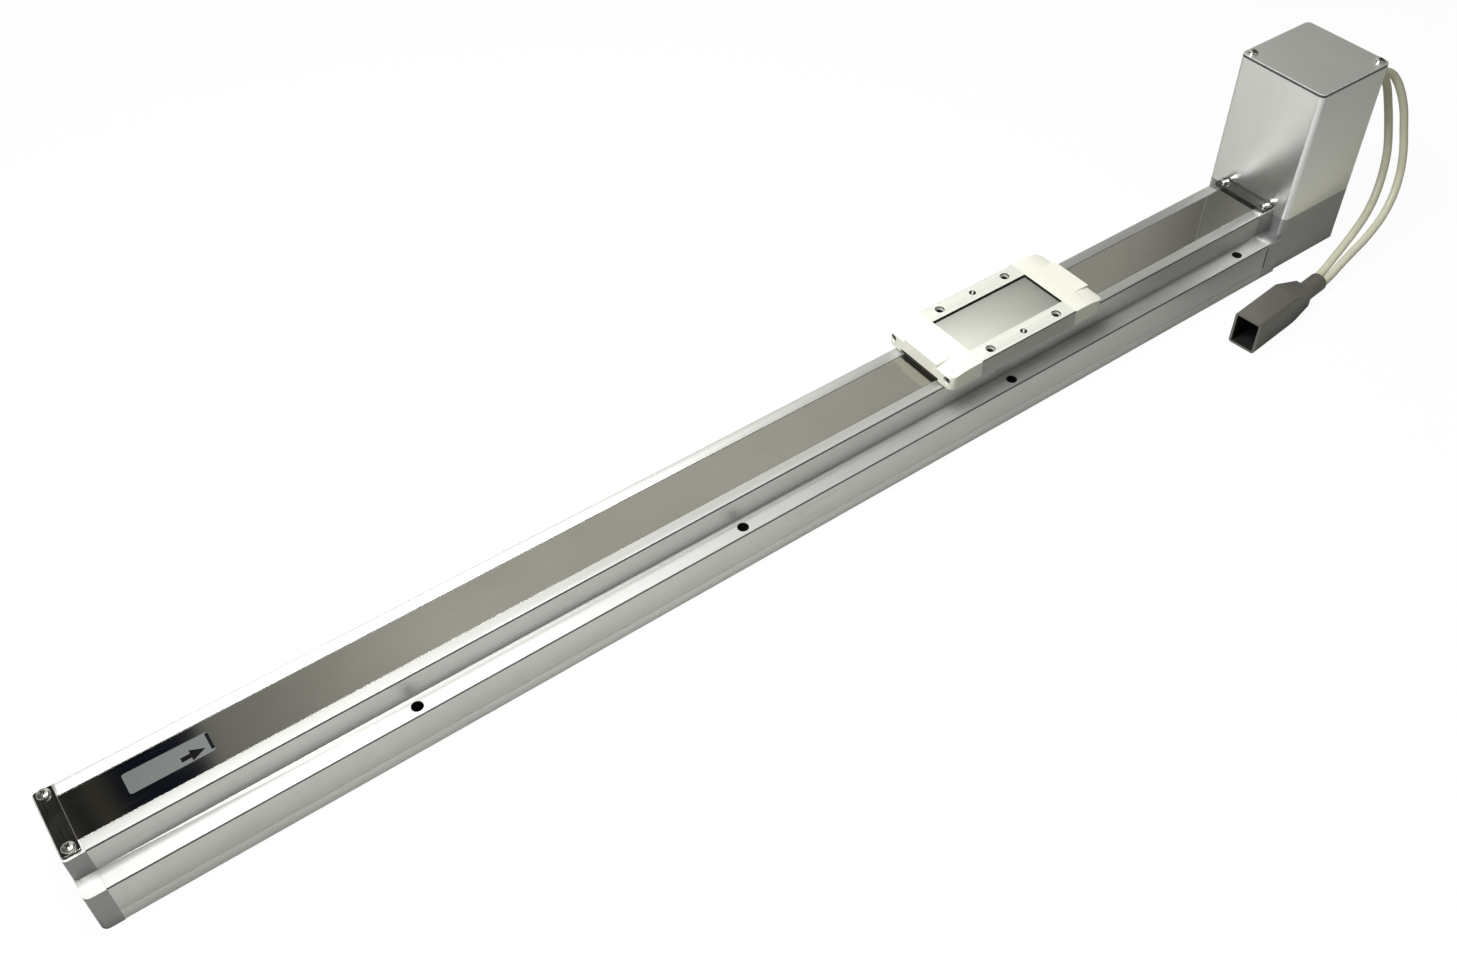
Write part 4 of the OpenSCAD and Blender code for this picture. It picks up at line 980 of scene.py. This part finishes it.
@dataclass
class CrossScrews:
    """Two pan-head screws with a cross recess, seated where the frame has them.

    Args:
        node: The frame node they stand for.
        corners: Side of the node's box that each screw stands at, along X and Y.
        turns: Turn of each cross.
        radius: Radius of the shaft, which all the other sizes are shares of.
    """

    node: str
    corners: Sequence[tuple[int, int]]
    turns: Sequence[float]
    radius: float = 1.5
    head_radius: ClassVar[float] = 1.85
    head_height: ClassVar[float] = 1.15
    outline: ClassVar[tuple[Pair, ...]] = (
        (0.0, -2.6), (1.0, -2.6), (1.0, 0.0), (1.85, 0.0), (1.88, 0.12), (1.86, 0.45), (1.72, 0.72),
        (1.4, 0.95), (0.9, 1.1), (0.4, 1.15), (0.0, 1.16),
    )
    steps: ClassVar[int] = 40
    slot_half: ClassVar[Point] = (1.05, 0.21, 0.6)
    slot_middle: ClassVar[float] = 0.98
    slot_taper: ClassVar[Point] = (0.55, 0.6, 1.0)

    def build(self) -> Object:
        """Make both screws as one piece and let it stand for its node.

        Returns:
            The piece.
        """
        low, high = box_mm(self.node)
        middle, half, head = (low + high) / 2, (high - low) / 2, self.head_radius * self.radius
        out_x, out_y, seat = half.x - head, half.y - head, high.z - self.head_height * self.radius
        places = [(middle.x + x * out_x, middle.y + y * out_y, seat) for x, y in self.corners]
        bm = Shaper.at_each(places, self.screw)
        name = f"{self.node}_shown"
        # The cross recesses take the painted shade.
        return Shaper.piece(name, bm, Finishes.SCREW, Finishes.RECESS, node=self.node, smooth=35.0)

    def screw(self, index: int) -> Mesh:
        """Return one of the screws, at the origin.

        Args:
            index: Which of them it is.

        Returns:
            The screw.
        """
        r = self.radius
        screw = Shaper.turned([(radius * r, height * r) for radius, height in self.outline], self.steps)
        half = Vector(self.slot_half) * r
        for step in (0.0, 90.0):
            slot = Shaper.block(-half, half)
            low = [vert for vert in slot.verts if vert.co.z < 0]
            bmesh.ops.scale(slot, vec=self.slot_taper, verts=low)
            Shaper.move(slot, (0.0, 0.0, self.slot_middle * r))
            Shaper.turn(slot, self.turns[index] + step)
            Shaper.paint(slot, 1)
            screw = Shaper.carve(screw, slot)
        return screw


@dataclass
class SlottedPlugs:
    """Plugs with a bright slot, a little proud of the table's pin holes, with faces painted near-black as
    shade in the holes.
    """

    places: Sequence[Point]
    radius: float = 1.5
    length: float = 3.0
    proud: float = 0.03
    edge: float = 0.15
    bar_half: float = 0.35
    bar_low: float = -0.37
    turn: float = 40.0
    steps: int = 28

    def build(self) -> Object:
        """Make the plugs as one piece."""
        bm = Shaper.at_each(self.places, self.plug)
        return Shaper.piece("table_plugs", bm, Finishes.HOLE, Finishes.PLUG_BAR, body=Body.CARRIAGE)

    def plug(self, _: int) -> Mesh:
        """Make one plug.

        Returns:
            The plug, at the origin.
        """
        r, flat, low = self.radius, self.radius - self.edge, -self.length
        plug = Shaper.turned([(0.0, low), (r, low), (r, -self.edge), (flat, 0.0), (0.0, 0.0)], self.steps)
        bar = Shaper.block((-flat, -self.bar_half, self.bar_low), (flat, self.bar_half, self.proud))
        Shaper.turn(bar, self.turn)
        Shaper.paint(bar, 1)
        Shaper.add(plug, bar)
        Shaper.move(plug, (0.0, 0.0, self.proud))
        return plug


@dataclass
class HoleMouths:
    """The bright linings of the table's tapped holes."""

    places: Sequence[Point]
    outer: float = 2.12
    inner: float = 1.98
    top: float = -0.5
    bottom: float = -1.9

    def build(self) -> Object:
        """Make the linings as one piece."""
        bm = Shaper.at_each(self.places, self.lining)
        return Shaper.piece("table_hole_mouths", bm, Finishes.BORE, body=Body.CARRIAGE)

    def lining(self, _: int) -> Mesh:
        """Make one lining.

        Returns:
            The lining, at the origin.
        """
        start, inner_top = (self.inner, self.bottom), (self.inner, self.top)
        ring = [start, inner_top, (self.outer, self.top), (self.outer, self.bottom), start]
        return Shaper.turned(ring, ROUND_STEPS)


@dataclass
class GrooveLips:
    """The sloped lips that close the lower side of the two flange grooves, near-white as a painted
    highlight.
    """

    low: float = 6.5
    height: float = 1.05
    depth: float = 0.6

    def build(self) -> Object:
        """Make both lips as one piece.

        Returns:
            The piece.
        """
        start, end = box_mm("body_extrusion")
        bm = bmesh.new()
        for side in SIDES:
            face = side * end.y
            inner = face - side * self.depth
            outline = [(face, self.low), (inner, self.low), (inner, self.low + self.height)]
            wall = bm.faces.new([bm.verts.new(Vector((start.x, y, z)) * MM) for y, z in outline])
            Shaper.sweep(bm, bmesh.ops.extrude_face_region(bm, geom=[wall]), (end.x - start.x, 0.0, 0.0))
        return Shaper.piece("groove_lips", bm, Finishes.GROOVE_LIP)


# ---- band and labels


@dataclass
class SealBand:
    """The sealing band: a flat strip that stays and a raised part that travels."""

    half: float = 12.0
    thick: float = 0.3
    rounding: float = 0.06
    raised_half: float = 11.8
    raised_thick: float = 0.2
    flat_past: float = 15.0
    high_past: float = 1.0

    def flat(self) -> Object:
        """Make the strip that lies along the body.

        Returns:
            The piece.
        """
        low, high = box_mm("seal_band")
        bm = Shaper.block((low.x, -self.half, low.z), (high.x, self.half, low.z + self.thick))
        obj = Shaper.piece("flat_band", bm, Finishes.BAND, node="seal_band")
        Shaper.soften(obj, self.rounding, 1)
        return obj

    def raised(self) -> Object:
        """Make the part that lifts over the table's web.

        Returns:
            The piece.
        """
        low, high = box_mm("seal_band")
        near, far = (corner.x for corner in box_mm("carriage_table"))
        flat = low.z + self.thick
        run = [
            (near - self.flat_past, flat), (near - self.high_past, high.z),
            (far + self.high_past, high.z), (far + self.flat_past, flat),
        ]
        bm = bmesh.new()
        verts = [bm.verts.new(Vector((x, -self.raised_half, z)) * MM) for x, z in run]
        edges = [bm.edges.new(pair) for pair in zip(verts, verts[1:])]
        Shaper.sweep(bm, bmesh.ops.extrude_edge_only(bm, edges=edges), (0.0, 2 * self.raised_half, 0.0))
        bmesh.ops.solidify(bm, geom=bm.faces[:], thickness=self.raised_thick * MM)
        bmesh.ops.recalc_face_normals(bm, faces=bm.faces[:])
        obj = Shaper.piece("raised_band", bm, Finishes.BAND, body=Body.CARRIAGE)
        return obj


@dataclass
class Labels:
    """The end label with its arrow and bar but no words, and the bare side label."""

    film: float = 0.07
    film_corner: float = 1.2
    ink: float = 0.03
    ink_sunk: float = 0.01
    side_film: float = 0.06
    side_corner: float = 0.4
    side_height: float = 15.0
    film_outline: Sequence[Pair] = ((31.8, -4.5), (67.6, -4.5), (67.8, 6.0), (31.8, 6.5))
    arrow: Sequence[Pair] = (
        (53.9, -2.45), (58.0, -2.45), (58.0, -4.2), (64.1, -1.25), (58.0, 1.7), (58.0, -0.1), (53.9, -0.1)
    )
    bar: Sequence[Pair] = ((66.0, -3.4), (67.5, -3.4), (67.7, 5.4), (66.2, 5.5))
    side_outline: Sequence[Pair] = ((346.0, 0.0), (370.0, 0.0), (370.0, 5.0), (346.0, 5.0))

    def build(self) -> None:
        """Stick on both labels."""
        low = box_mm("seal_band")[0].z + SealBand.thick
        high = low + self.film - self.ink_sunk
        film = self.plate(self.film_outline, low, self.film, self.film_corner)
        Shaper.piece("end_label", film, Finishes.LABEL)
        for name, outline in (("arrow", self.arrow), ("bar", self.bar)):
            Shaper.piece(f"end_label_{name}", self.plate(outline, high, self.ink), Finishes.INK)
        side = self.plate(self.side_outline, 0.0, self.side_film, self.side_corner)
        Shaper.turn(side, 90.0, "X")
        Shaper.move(side, (0.0, box_mm("body_extrusion")[0].y, self.side_height))
        Shaper.piece("side_label", side, Finishes.SIDE_LABEL)

    @staticmethod
    def plate(outline: Sequence[Pair], z: float, thick: float, corner: float = 0.0) -> Mesh:
        """Return a thin flat plate.

        Args:
            outline: Its corners, from the module's near end.
            z: Height of its underside.
            thick: Its thickness.
            corner: Radius of its corners.

        Returns:
            The plate.
        """
        near = box_mm("near_end_block")[0].x
        bm = bmesh.new()
        bm.faces.new([bm.verts.new(Vector((near + x, y, z)) * MM) for x, y in outline])
        if corner:
            bmesh.ops.bevel(
                bm, geom=bm.verts[:], offset=corner * MM, segments=5, profile=0.5, affect="VERTICES",
                material=-1,
            )
        Shaper.sweep(bm, bmesh.ops.extrude_face_region(bm, geom=bm.faces[:]), (0.0, 0.0, thick))
        return bm


# ---- cables and hood


@dataclass
class Cable:
    """One of the two cables, along a route that starts at the tower's back face."""

    node: str
    route: Sequence[Point]
    diameter: float = 4.6
    steps: int = 8

    def line(self) -> list[Vector]:
        """Return the smooth centre line.

        Returns:
            Its points in metres.
        """
        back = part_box("tower_cover")[1].x
        way = [Vector((back + x * MM, y * MM, z * MM)) for x, y, z in self.route]
        way = [way[0], *way, way[-1]]
        points: list[Vector] = []
        for a, b, c, d in zip(way, way[1:], way[2:], way[3:]):
            for step in range(self.steps):
                t = step / self.steps
                square, cube = 2 * a - 5 * b + 4 * c - d, 3 * b - a - 3 * c + d
                points.append(0.5 * (2 * b + (c - a) * t + square * t**2 + cube * t**3))
        return points + [way[-1]]

    def build(self) -> Object:
        """Make the cable as a round curve and let it stand for its node.

        Returns:
            The cable.
        """
        points = self.line()
        curve = bpy.data.curves.new(f"{self.node}_line", "CURVE")
        curve.dimensions = "3D"
        curve.bevel_depth = self.diameter / 2 * MM
        curve.bevel_resolution = 5
        curve.use_fill_caps = True
        spline = curve.splines.new("POLY")
        spline.points.add(len(points) - 1)
        for target, point in zip(spline.points, points):
            target.co = (*point, 1.0)
        spline.use_smooth = True
        curve.materials.append(Finishes.CABLE.build())
        obj = bpy.data.objects.new(f"{self.node}_round", curve)
        bpy.context.scene.collection.objects.link(obj)
        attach(obj, Body.BASE.value)
        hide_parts(self.node)
        return obj

    def length(self) -> float:
        """Return the length of the centre line in metres."""
        points = self.line()
        return sum((b - a).length for a, b in zip(points, points[1:]))


POWER_ROUTE: tuple[Point, ...] = (
    (-3.5, -19.2, 102.4), (1.5, -19.2, 102.4), (8, -20.2, 102), (14.5, -23, 98.8),
    (19.2, -27, 90.5), (22.4, -31.2, 79), (23.6, -35, 66.5), (22.9, -39.4, 55),
    (20.2, -43.4, 43.6), (14.3, -47, 32.6), (5, -49.8, 23.8), (-8.1, -52, 17.2),
    (-20, -53.3, 13.4), (-31, -54.6, 10.2), (-41, -56.1, 7.6), (-49.6, -57.17, 6.5),
    (-61.5, -58.42, 6.5),
)
SIGNAL_ROUTE: tuple[Point, ...] = (
    (-3.5, -12.4, 102.4), (1.5, -12.4, 102.4), (8, -13.2, 101.9), (14.5, -15.8, 97.5),
    (19.5, -18.6, 88.8), (22.3, -21.5, 77.5), (23.4, -25.6, 64.5), (22.4, -30.3, 51.5),
    (18.8, -34.2, 39.5), (12, -38, 29), (2.5, -41.4, 21.9), (-9.3, -44.4, 17),
    (-21, -46.9, 13.3), (-32, -49.2, 10.2), (-42, -51.2, 7.6), (-50.1, -52.39, 6.5),
    (-62, -53.64, 6.5),
)


@dataclass
class PlugHood:
    """The connector hood, rounded outside with a painted highlight on its rims, and painted near-black
    inside as shade in its mouth.
    """

    mouth: Point = (250.75, -62.2, 0.0)
    yaw: float = 6.0
    half_width: float = 8.0
    height: float = 20.0
    wall: float = 1.4
    slack: float = 0.2
    lip: float = 0.5
    taper: float = 34.0
    length: float = 40.0

    def inside(self, middle: Vector, normal: Vector) -> bool:
        """Tell whether a face lies within the walls.

        Args:
            middle: The face's middle.
            normal: The face's normal.

        Returns:
            Whether it does.
        """
        local = Matrix.Rotation(math.radians(-self.yaw), 3, "Z") @ (middle - Vector(self.mouth))
        skin = self.wall - self.slack
        return (
            self.lip < local.x < self.length
            and abs(local.y) < self.half_width - skin
            and skin < local.z < self.height - skin
            and not (local.x > self.taper and abs(normal.x) < 0.9)
        )

    def build(self) -> Object:
        """Make the hood and let it stand for its node."""
        # Faces within the walls take the painted shade; the rounded edges take the painted highlight.
        zones = [Zone(Finishes.HOOD_INSIDE, self.inside)]
        return Polished("connector_hood", width=0.5, segments=3, edge=Finishes.HOOD_RIM, zones=zones).build()


# ---- sub-assemblies


@dataclass
class BodyAssembly:
    """The body with its end block, clamps and side grooves."""

    first_hole: float = 145.0
    hole_pitch: float = 170.0
    hole_row: float = 24.0
    hole_count: int = 4
    hole_reach: float = 3.0
    groove_low: float = 6.3
    groove_high: float = 7.7
    groove_deep: float = 0.7
    groove_skin: float = 0.02
    block_ledge: float = 20.0

    def groove_wall(self, middle: Vector, _: Vector) -> bool:
        """Tell whether a face is a wall of a side groove."""
        deep = box_mm("body_extrusion")[1].y - abs(middle.y)
        return self.groove_skin < deep < self.groove_deep and self.groove_low < middle.z < self.groove_high

    def glare_lit_block_top(self, middle: Vector, normal: Vector) -> bool:
        """Tell whether a face is a level top of the near end block, which takes the body's lighter finish as
        a painted highlight.
        """
        return normal.z > 0.9 and middle.z > self.block_ledge

    def parts(self) -> list[Piece]:
        """List what is built.

        Returns:
            The pieces in order.
        """
        first = box_mm("near_end_block")[0].x + self.first_hole
        columns = [first + self.hole_pitch * i for i in range(self.hole_count)]
        holes = [(x, side * self.hole_row) for x in columns for side in SIDES]
        # The flange holes' walls are painted near-black as painted shade.
        zones = [
            Zone(Finishes.DARK_EDGE, chamfer), Zone(Finishes.HOLE, bores(holes, self.hole_reach)),
            Zone(Finishes.SEAM, self.groove_wall),
        ]
        return [
            # The body's rounded edges and long chamfers take the painted dark reflection.
            Polished("body_extrusion", edge=Finishes.DARK_EDGE, zones=zones),
            # The near end block's level tops take the body's lighter finish as a painted highlight.
            Polished("near_end_block", width=0.3, zones=[Zone(Finishes.ANODISED, self.glare_lit_block_top)]),
            Polished("near_band_clamp", edge=Finishes.CLAMP_EDGE),
            Polished("far_band_clamp", edge=Finishes.SEAM),
            CrossScrews("near_clamp_screws", ((0, 1), (0, -1)), (20.0, 52.0)),
            CrossScrews("far_clamp_screws", ((0, 1), (0, -1)), (66.0, 8.0)),
            GrooveLips(),
        ]


@dataclass
class DriveTower:
    """The drive housing and the tower that stands on it."""

    seam_width: float = 0.9
    seam_lap: float = 0.1
    seam_low: float = 8.0
    seam_high: float = 21.8
    neck_low: float = 24.0

    @staticmethod
    def ledge(middle: Vector, normal: Vector) -> bool:
        """Tell whether a face is a level top of the neck."""
        return normal.z > 0.9 and middle.x < box_mm("tower_cover")[0].x - BEYOND

    def shaded_neck_front(self, middle: Vector, normal: Vector) -> bool:
        """Tell whether a face of the housing looks along the body, which takes the near block's darker paint
        as painted shade.
        """
        return normal.x < -0.9 and middle.z > self.neck_low

    def parts(self) -> list[Piece]:
        """List what is built.

        Returns:
            The pieces in order.
        """
        end, side = box_mm("body_extrusion")[1].x, box_mm("body_extrusion")[0].y
        low = (end - self.seam_lap, side - BEYOND, self.seam_low)
        seam = Groove(low, (end + self.seam_width, side + BEYOND, self.seam_high))
        # The neck's level tops take the shaded ledge finish, and its faces towards the near end take painted
        # shade.
        neck = [Zone(Finishes.LEDGE, self.ledge), Zone(Finishes.NEAR_BLOCK, self.shaded_neck_front)]
        # The cover's front upright corners and the rounded edges of cover and lid carry the painted
        # highlight.
        corners, rim = [Zone(Finishes.CORNER, front_corner)], [Zone(Finishes.LID_RIM, upright)]
        return [
            Polished("drive_housing", width=0.25, grooves=[seam], zones=neck),
            Polished("tower_cover", width=0.3, edge=Finishes.CORNER, zones=corners),
            # The lid's upright sides take the painted shade line.
            Polished("tower_lid", width=0.35, edge=Finishes.CORNER, zones=rim),
            CrossScrews("tower_lid_screws", ((-1, 1), (1, -1)), (35.0, 74.0)),
        ]


@dataclass
class Carriage:
    """The table with its holders, its plate and what sits in its holes."""

    pitch: Pair = (45.0, 38.0)
    tapped: Pair = (2.55, 2.1)
    tapped_reach: float = 2.4
    pin: Pair = (1.85, 1.45)
    pin_reach: float = 1.6
    flank: float = 23.0
    channel_half: float = 18.0
    socket: Pair = (20.0, 43.5)
    socket_reach: float = 1.4
    rounding: float = 0.9
    gap: float = 0.7
    gap_deep: float = 1.0
    end_gap: float = 1.95

    def holes(self, columns: Sequence[int]) -> list[Point]:
        """Return the middles of hole mouths on the table's top.

        Args:
            columns: -1 and 1 for the outer columns, 0 for the middle one.

        Returns:
            Their places.
        """
        low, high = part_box("carriage_table")
        x, step_x, step_y = (low.x + high.x) / 2 / MM, self.pitch[0] / 2, self.pitch[1] / 2
        return [(x + column * step_x, side * step_y, high.z / MM) for column in columns for side in SIDES]

    def on_flank(self, middle: Vector, normal: Vector) -> bool:
        """Tell whether a face is on a long side of the carriage."""
        return abs(normal.y) > 0.9 and abs(middle.y) > self.flank

    def in_channel(self, middle: Vector, normal: Vector) -> bool:
        """Tell whether a face is an inner wall of the table above the plate's underside."""
        high = middle.z > box_mm("centre_plate")[0].z
        return high and abs(normal.y) > 0.9 and abs(middle.y) < self.channel_half

    def socket_bore(self, middle: Vector, normal: Vector) -> bool:
        """Tell whether a face of a holder is the wall of a screw hole."""
        away = math.hypot(abs(middle.y) - self.socket[0], middle.z - self.socket[1])
        return abs(normal.x) < 0.5 and away < self.socket_reach

    def plate_gaps(self) -> list[Groove]:
        """Place the shadow gaps along the plate's far side and far end.

        Returns:
            Both gaps.
        """
        low, high = box_mm("centre_plate")
        floor, past = high.z - self.gap_deep, high + Vector((BEYOND,) * 3)
        side = Groove((low.x - BEYOND, high.y - self.gap, floor), past)
        return [side, Groove((high.x - self.end_gap, low.y - BEYOND, floor), past)]

    def parts(self) -> list[Piece]:
        """List what is built.

        Returns:
            The pieces in order.
        """
        tapped, pins = self.holes(SIDES), self.holes((0,))
        # Hole mouths, hole walls and the holders' screw holes are painted near-black as painted shade.
        sinks = [Sink(place, *self.tapped) for place in tapped] + [Sink(place, *self.pin) for place in pins]
        faces = [
            Zone(Finishes.HOLE, bores(tapped, self.tapped_reach)),
            Zone(Finishes.HOLE, bores(pins, self.pin_reach)),
            # The table's long sides take the painted shade.
            Zone(Finishes.TABLE_SIDE, self.on_flank), Zone(Finishes.TABLE_EDGE, chamfer),
            Zone(Finishes.SEAM, self.in_channel),
        ]
        holder = [Zone(Finishes.HOLE, self.socket_bore), Zone(Finishes.WHITE_SIDE, self.on_flank)]
        joint = Zone(Finishes.SEAM, facing_near_end)
        # The table's rounded edges and chamfers take the painted dark reflection.
        table = Polished("carriage_table", Body.CARRIAGE, 0.3, 2, Finishes.TABLE_EDGE, faces, sinks)
        return [
            table,
            Polished("centre_plate", Body.CARRIAGE, 0.0, grooves=self.plate_gaps()),
            Polished("near_band_holder", Body.CARRIAGE, self.rounding, 4, zones=holder),
            Polished("far_band_holder", Body.CARRIAGE, self.rounding, 4, zones=[*holder, joint]),
            SlottedPlugs(pins),
            HoleMouths(tapped),
        ]


# ---- studio


@dataclass
class Studio:
    """Camera, floor, surroundings and lamp.

    Args:
        heading: Where the camera looks round the room, from the X axis.
        tilt: How far it looks up.
        lamp_power: The lamp's power in watts.
        white: Brightness of what is seen behind the module.
        fades: Steps of the room's brightness: from one angle to another, from one level to another.
        front: Angles between which the front half of the room gets lighter.
        front_level: How much lighter it gets.
        panel_around: Soft sides of the bright panel.
        panel_rise: Its soft lower and upper edge.
        panel_level: How bright it is.
        window: The dark window's middle, round the room and up, and half its width and height.
        streaks: Middle and half width of the window's streaks.
    """

    camera_at: Point = (-327.684, -403.687, 541.051)
    heading: float = 55.2116
    tilt: float = -46.3364
    roll: float = -1.4435
    lens: float = 36.933
    lamp_at: Point = (-200.0, 30.0, 650.0)
    lamp_size: Pair = (450.0, 300.0)
    lamp_power: float = 6.9
    white: float = 1.04
    fades: tuple[tuple[float, float, float, float], ...] = (
        (31.0, 38.0, 0.12, 0.75), (38.0, 56.0, 1.0, 1.36), (70.0, 88.0, 1.0, 0.4), (110.0, 140.0, 1.0, 0.35)
    )
    front: Pair = (-12.0, -40.0)
    front_level: float = 0.15
    panel_around: tuple[Pair, Pair] = ((-95.0, -80.0), (-52.0, -40.0))
    panel_rise: tuple[Pair, Pair] = ((34.0, 46.0), (74.0, 84.0))
    panel_level: float = 1.2
    window: tuple[float, float, float, float] = (93.5, 51.0, 6.8, 8.0)
    streaks: tuple[Pair, Pair] = ((95.6, 1.1), (93.2, 0.9))

    def build(self) -> None:
        """Set the whole stage."""
        self.camera()
        self.floor()
        self.world()
        self.lamp()
        bpy.context.scene.view_settings.view_transform = "Standard"

    @staticmethod
    def place(name: str, data: bpy.types.ID) -> Object:
        """Put a new object into the scene.

        Args:
            name: Its name.
            data: The camera, lamp or mesh that it shows.

        Returns:
            The object.
        """
        obj = bpy.data.objects.new(name, data)
        bpy.context.scene.collection.objects.link(obj)
        return obj

    def camera(self) -> None:
        """Place the camera."""
        data = bpy.data.cameras.new("camera")
        data.sensor_width = 36.0
        data.lens = self.lens
        data.clip_start = 0.01
        data.clip_end = 20.0
        data.dof.use_dof = False
        pose = Matrix.Translation(Vector(self.camera_at) * MM)
        for degrees, axis in ((self.heading - 90.0, "Z"), (self.tilt + 90.0, "X"), (self.roll, "Z")):
            pose = pose @ Matrix.Rotation(math.radians(degrees), 4, axis)
        bpy.context.scene.camera = self.place("camera", data)
        bpy.context.scene.camera.matrix_world = pose

    def floor(self) -> None:
        """Lay a plain pale floor."""
        bm = bmesh.new()
        bmesh.ops.create_grid(bm, x_segments=1, y_segments=1, size=6.0)
        Shaper.move(bm, (0.0, 0.0, -0.2))
        mesh = bpy.data.meshes.new("floor")
        bm.to_mesh(mesh)
        bm.free()
        material = bpy.data.materials.new("pale_floor")
        material.use_nodes = True
        desk = Desk(material.node_tree)
        shader = material.node_tree.nodes["Principled BSDF"]
        shader.inputs["Base Color"].default_value = (0.55, 0.55, 0.53, 1.0)
        shader.inputs["Roughness"].default_value = 0.9
        glow = desk.add("ShaderNodeEmission", Strength=self.white)
        seen = desk.add("ShaderNodeLightPath").outputs["Is Camera Ray"]
        both = desk.add("ShaderNodeMixShader")
        for index, item in enumerate((desk.times(seen, 0.92), shader.outputs[0], glow.outputs[0])):
            desk.feed(both, index, item)
        desk.feed(material.node_tree.nodes["Material Output"], 0, both.outputs[0])
        mesh.materials.append(material)
        self.place("floor", mesh)

    def world(self) -> None:
        """Fill the surroundings with a dim room that has one dark window."""
        world = bpy.data.worlds.new("studio")
        world.use_nodes = True
        bpy.context.scene.world = world
        desk = Desk(world.node_tree)
        parts = desk.add("ShaderNodeSeparateXYZ")
        desk.feed(parts, 0, desk.add("ShaderNodeTexCoord").outputs["Generated"])
        x, y, z = parts.outputs
        around = desk.times(desk.maths("ARCTAN2", y, x), 180 / math.pi)
        rise = desk.times(desk.maths("ARCSINE", z), 180 / math.pi)
        level = desk.ramp(around, *self.fades[0])
        for fade in self.fades[1:]:
            level = desk.times(level, desk.ramp(around, *fade))
        level = desk.plus(level, desk.times(desk.ramp(around, *self.front), self.front_level))
        panel = desk.times(desk.between(around, *self.panel_around), desk.between(rise, *self.panel_rise))
        level = desk.plus(level, desk.times(panel, self.panel_level))
        room = desk.mix(level, rgba((0.0, 0.0, 0.0)), rgba((0.66, 0.65, 0.6)))
        turn, height, half_width, half_height = self.window
        wide = desk.ramp(desk.gap(around, turn), half_width, half_width - 0.8)
        tall = desk.ramp(desk.gap(rise, height), half_height, half_height - 1.0)
        streaks = [desk.ramp(desk.gap(around, at), half * 0.35, half, 1.0, 0.0) for at, half in self.streaks]
        bright = desk.maths("MAXIMUM", *streaks)
        pane = desk.mix(bright, rgba((0.004, 0.007, 0.018)), rgba((0.075, 0.07, 0.05)))
        dark = desk.mix(desk.times(wide, tall), room, pane)
        seen = desk.add("ShaderNodeLightPath").outputs["Is Camera Ray"]
        back = world.node_tree.nodes["Background"]
        desk.feed(back, "Color", desk.mix(seen, dark, rgba((self.white,) * 3)))
        back.inputs["Strength"].default_value = 1.0

    def lamp(self) -> None:
        """Hang the one soft lamp, which faces straight down."""
        data = bpy.data.lights.new("overhead", "AREA")
        data.shape = "RECTANGLE"
        data.size, data.size_y = Vector(self.lamp_size) * MM
        data.energy = self.lamp_power
        data.color = (1.0, 1.0, 0.98)
        self.place("overhead", data).location = Vector(self.lamp_at) * MM


# ---- main


def dress_nodes() -> None:
    """Give every frame node its finish."""
    for name, finish in NODE_FINISH.items():
        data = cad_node(name).data
        data.materials.clear()
        data.materials.append(finish.build())
        LOG.info("finish %s on %s", finish.name, name)


def main() -> None:
    """Build the looks in order."""
    logging.basicConfig(level=logging.INFO, format="%(message)s")
    FRAME.update(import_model())
    Studio().build()
    dress_nodes()
    hood = PlugHood().build()
    for cable in (Cable("power_cable", POWER_ROUTE), Cable("signal_cable", SIGNAL_ROUTE)):
        obj = cable.build()
        tuple(cable.line()[0])
        cable.length()
        LOG.info("cord %s", obj.name)
    for obj in (hood, SealBand().flat(), SealBand().raised()):
        LOG.info("piece %s", obj.name)
    Labels().build()
    for assembly in (BodyAssembly(), DriveTower(), Carriage()):
        for part in assembly.parts():
            LOG.info("piece %s", part.build().name)


if __name__ == "__main__":
    main()
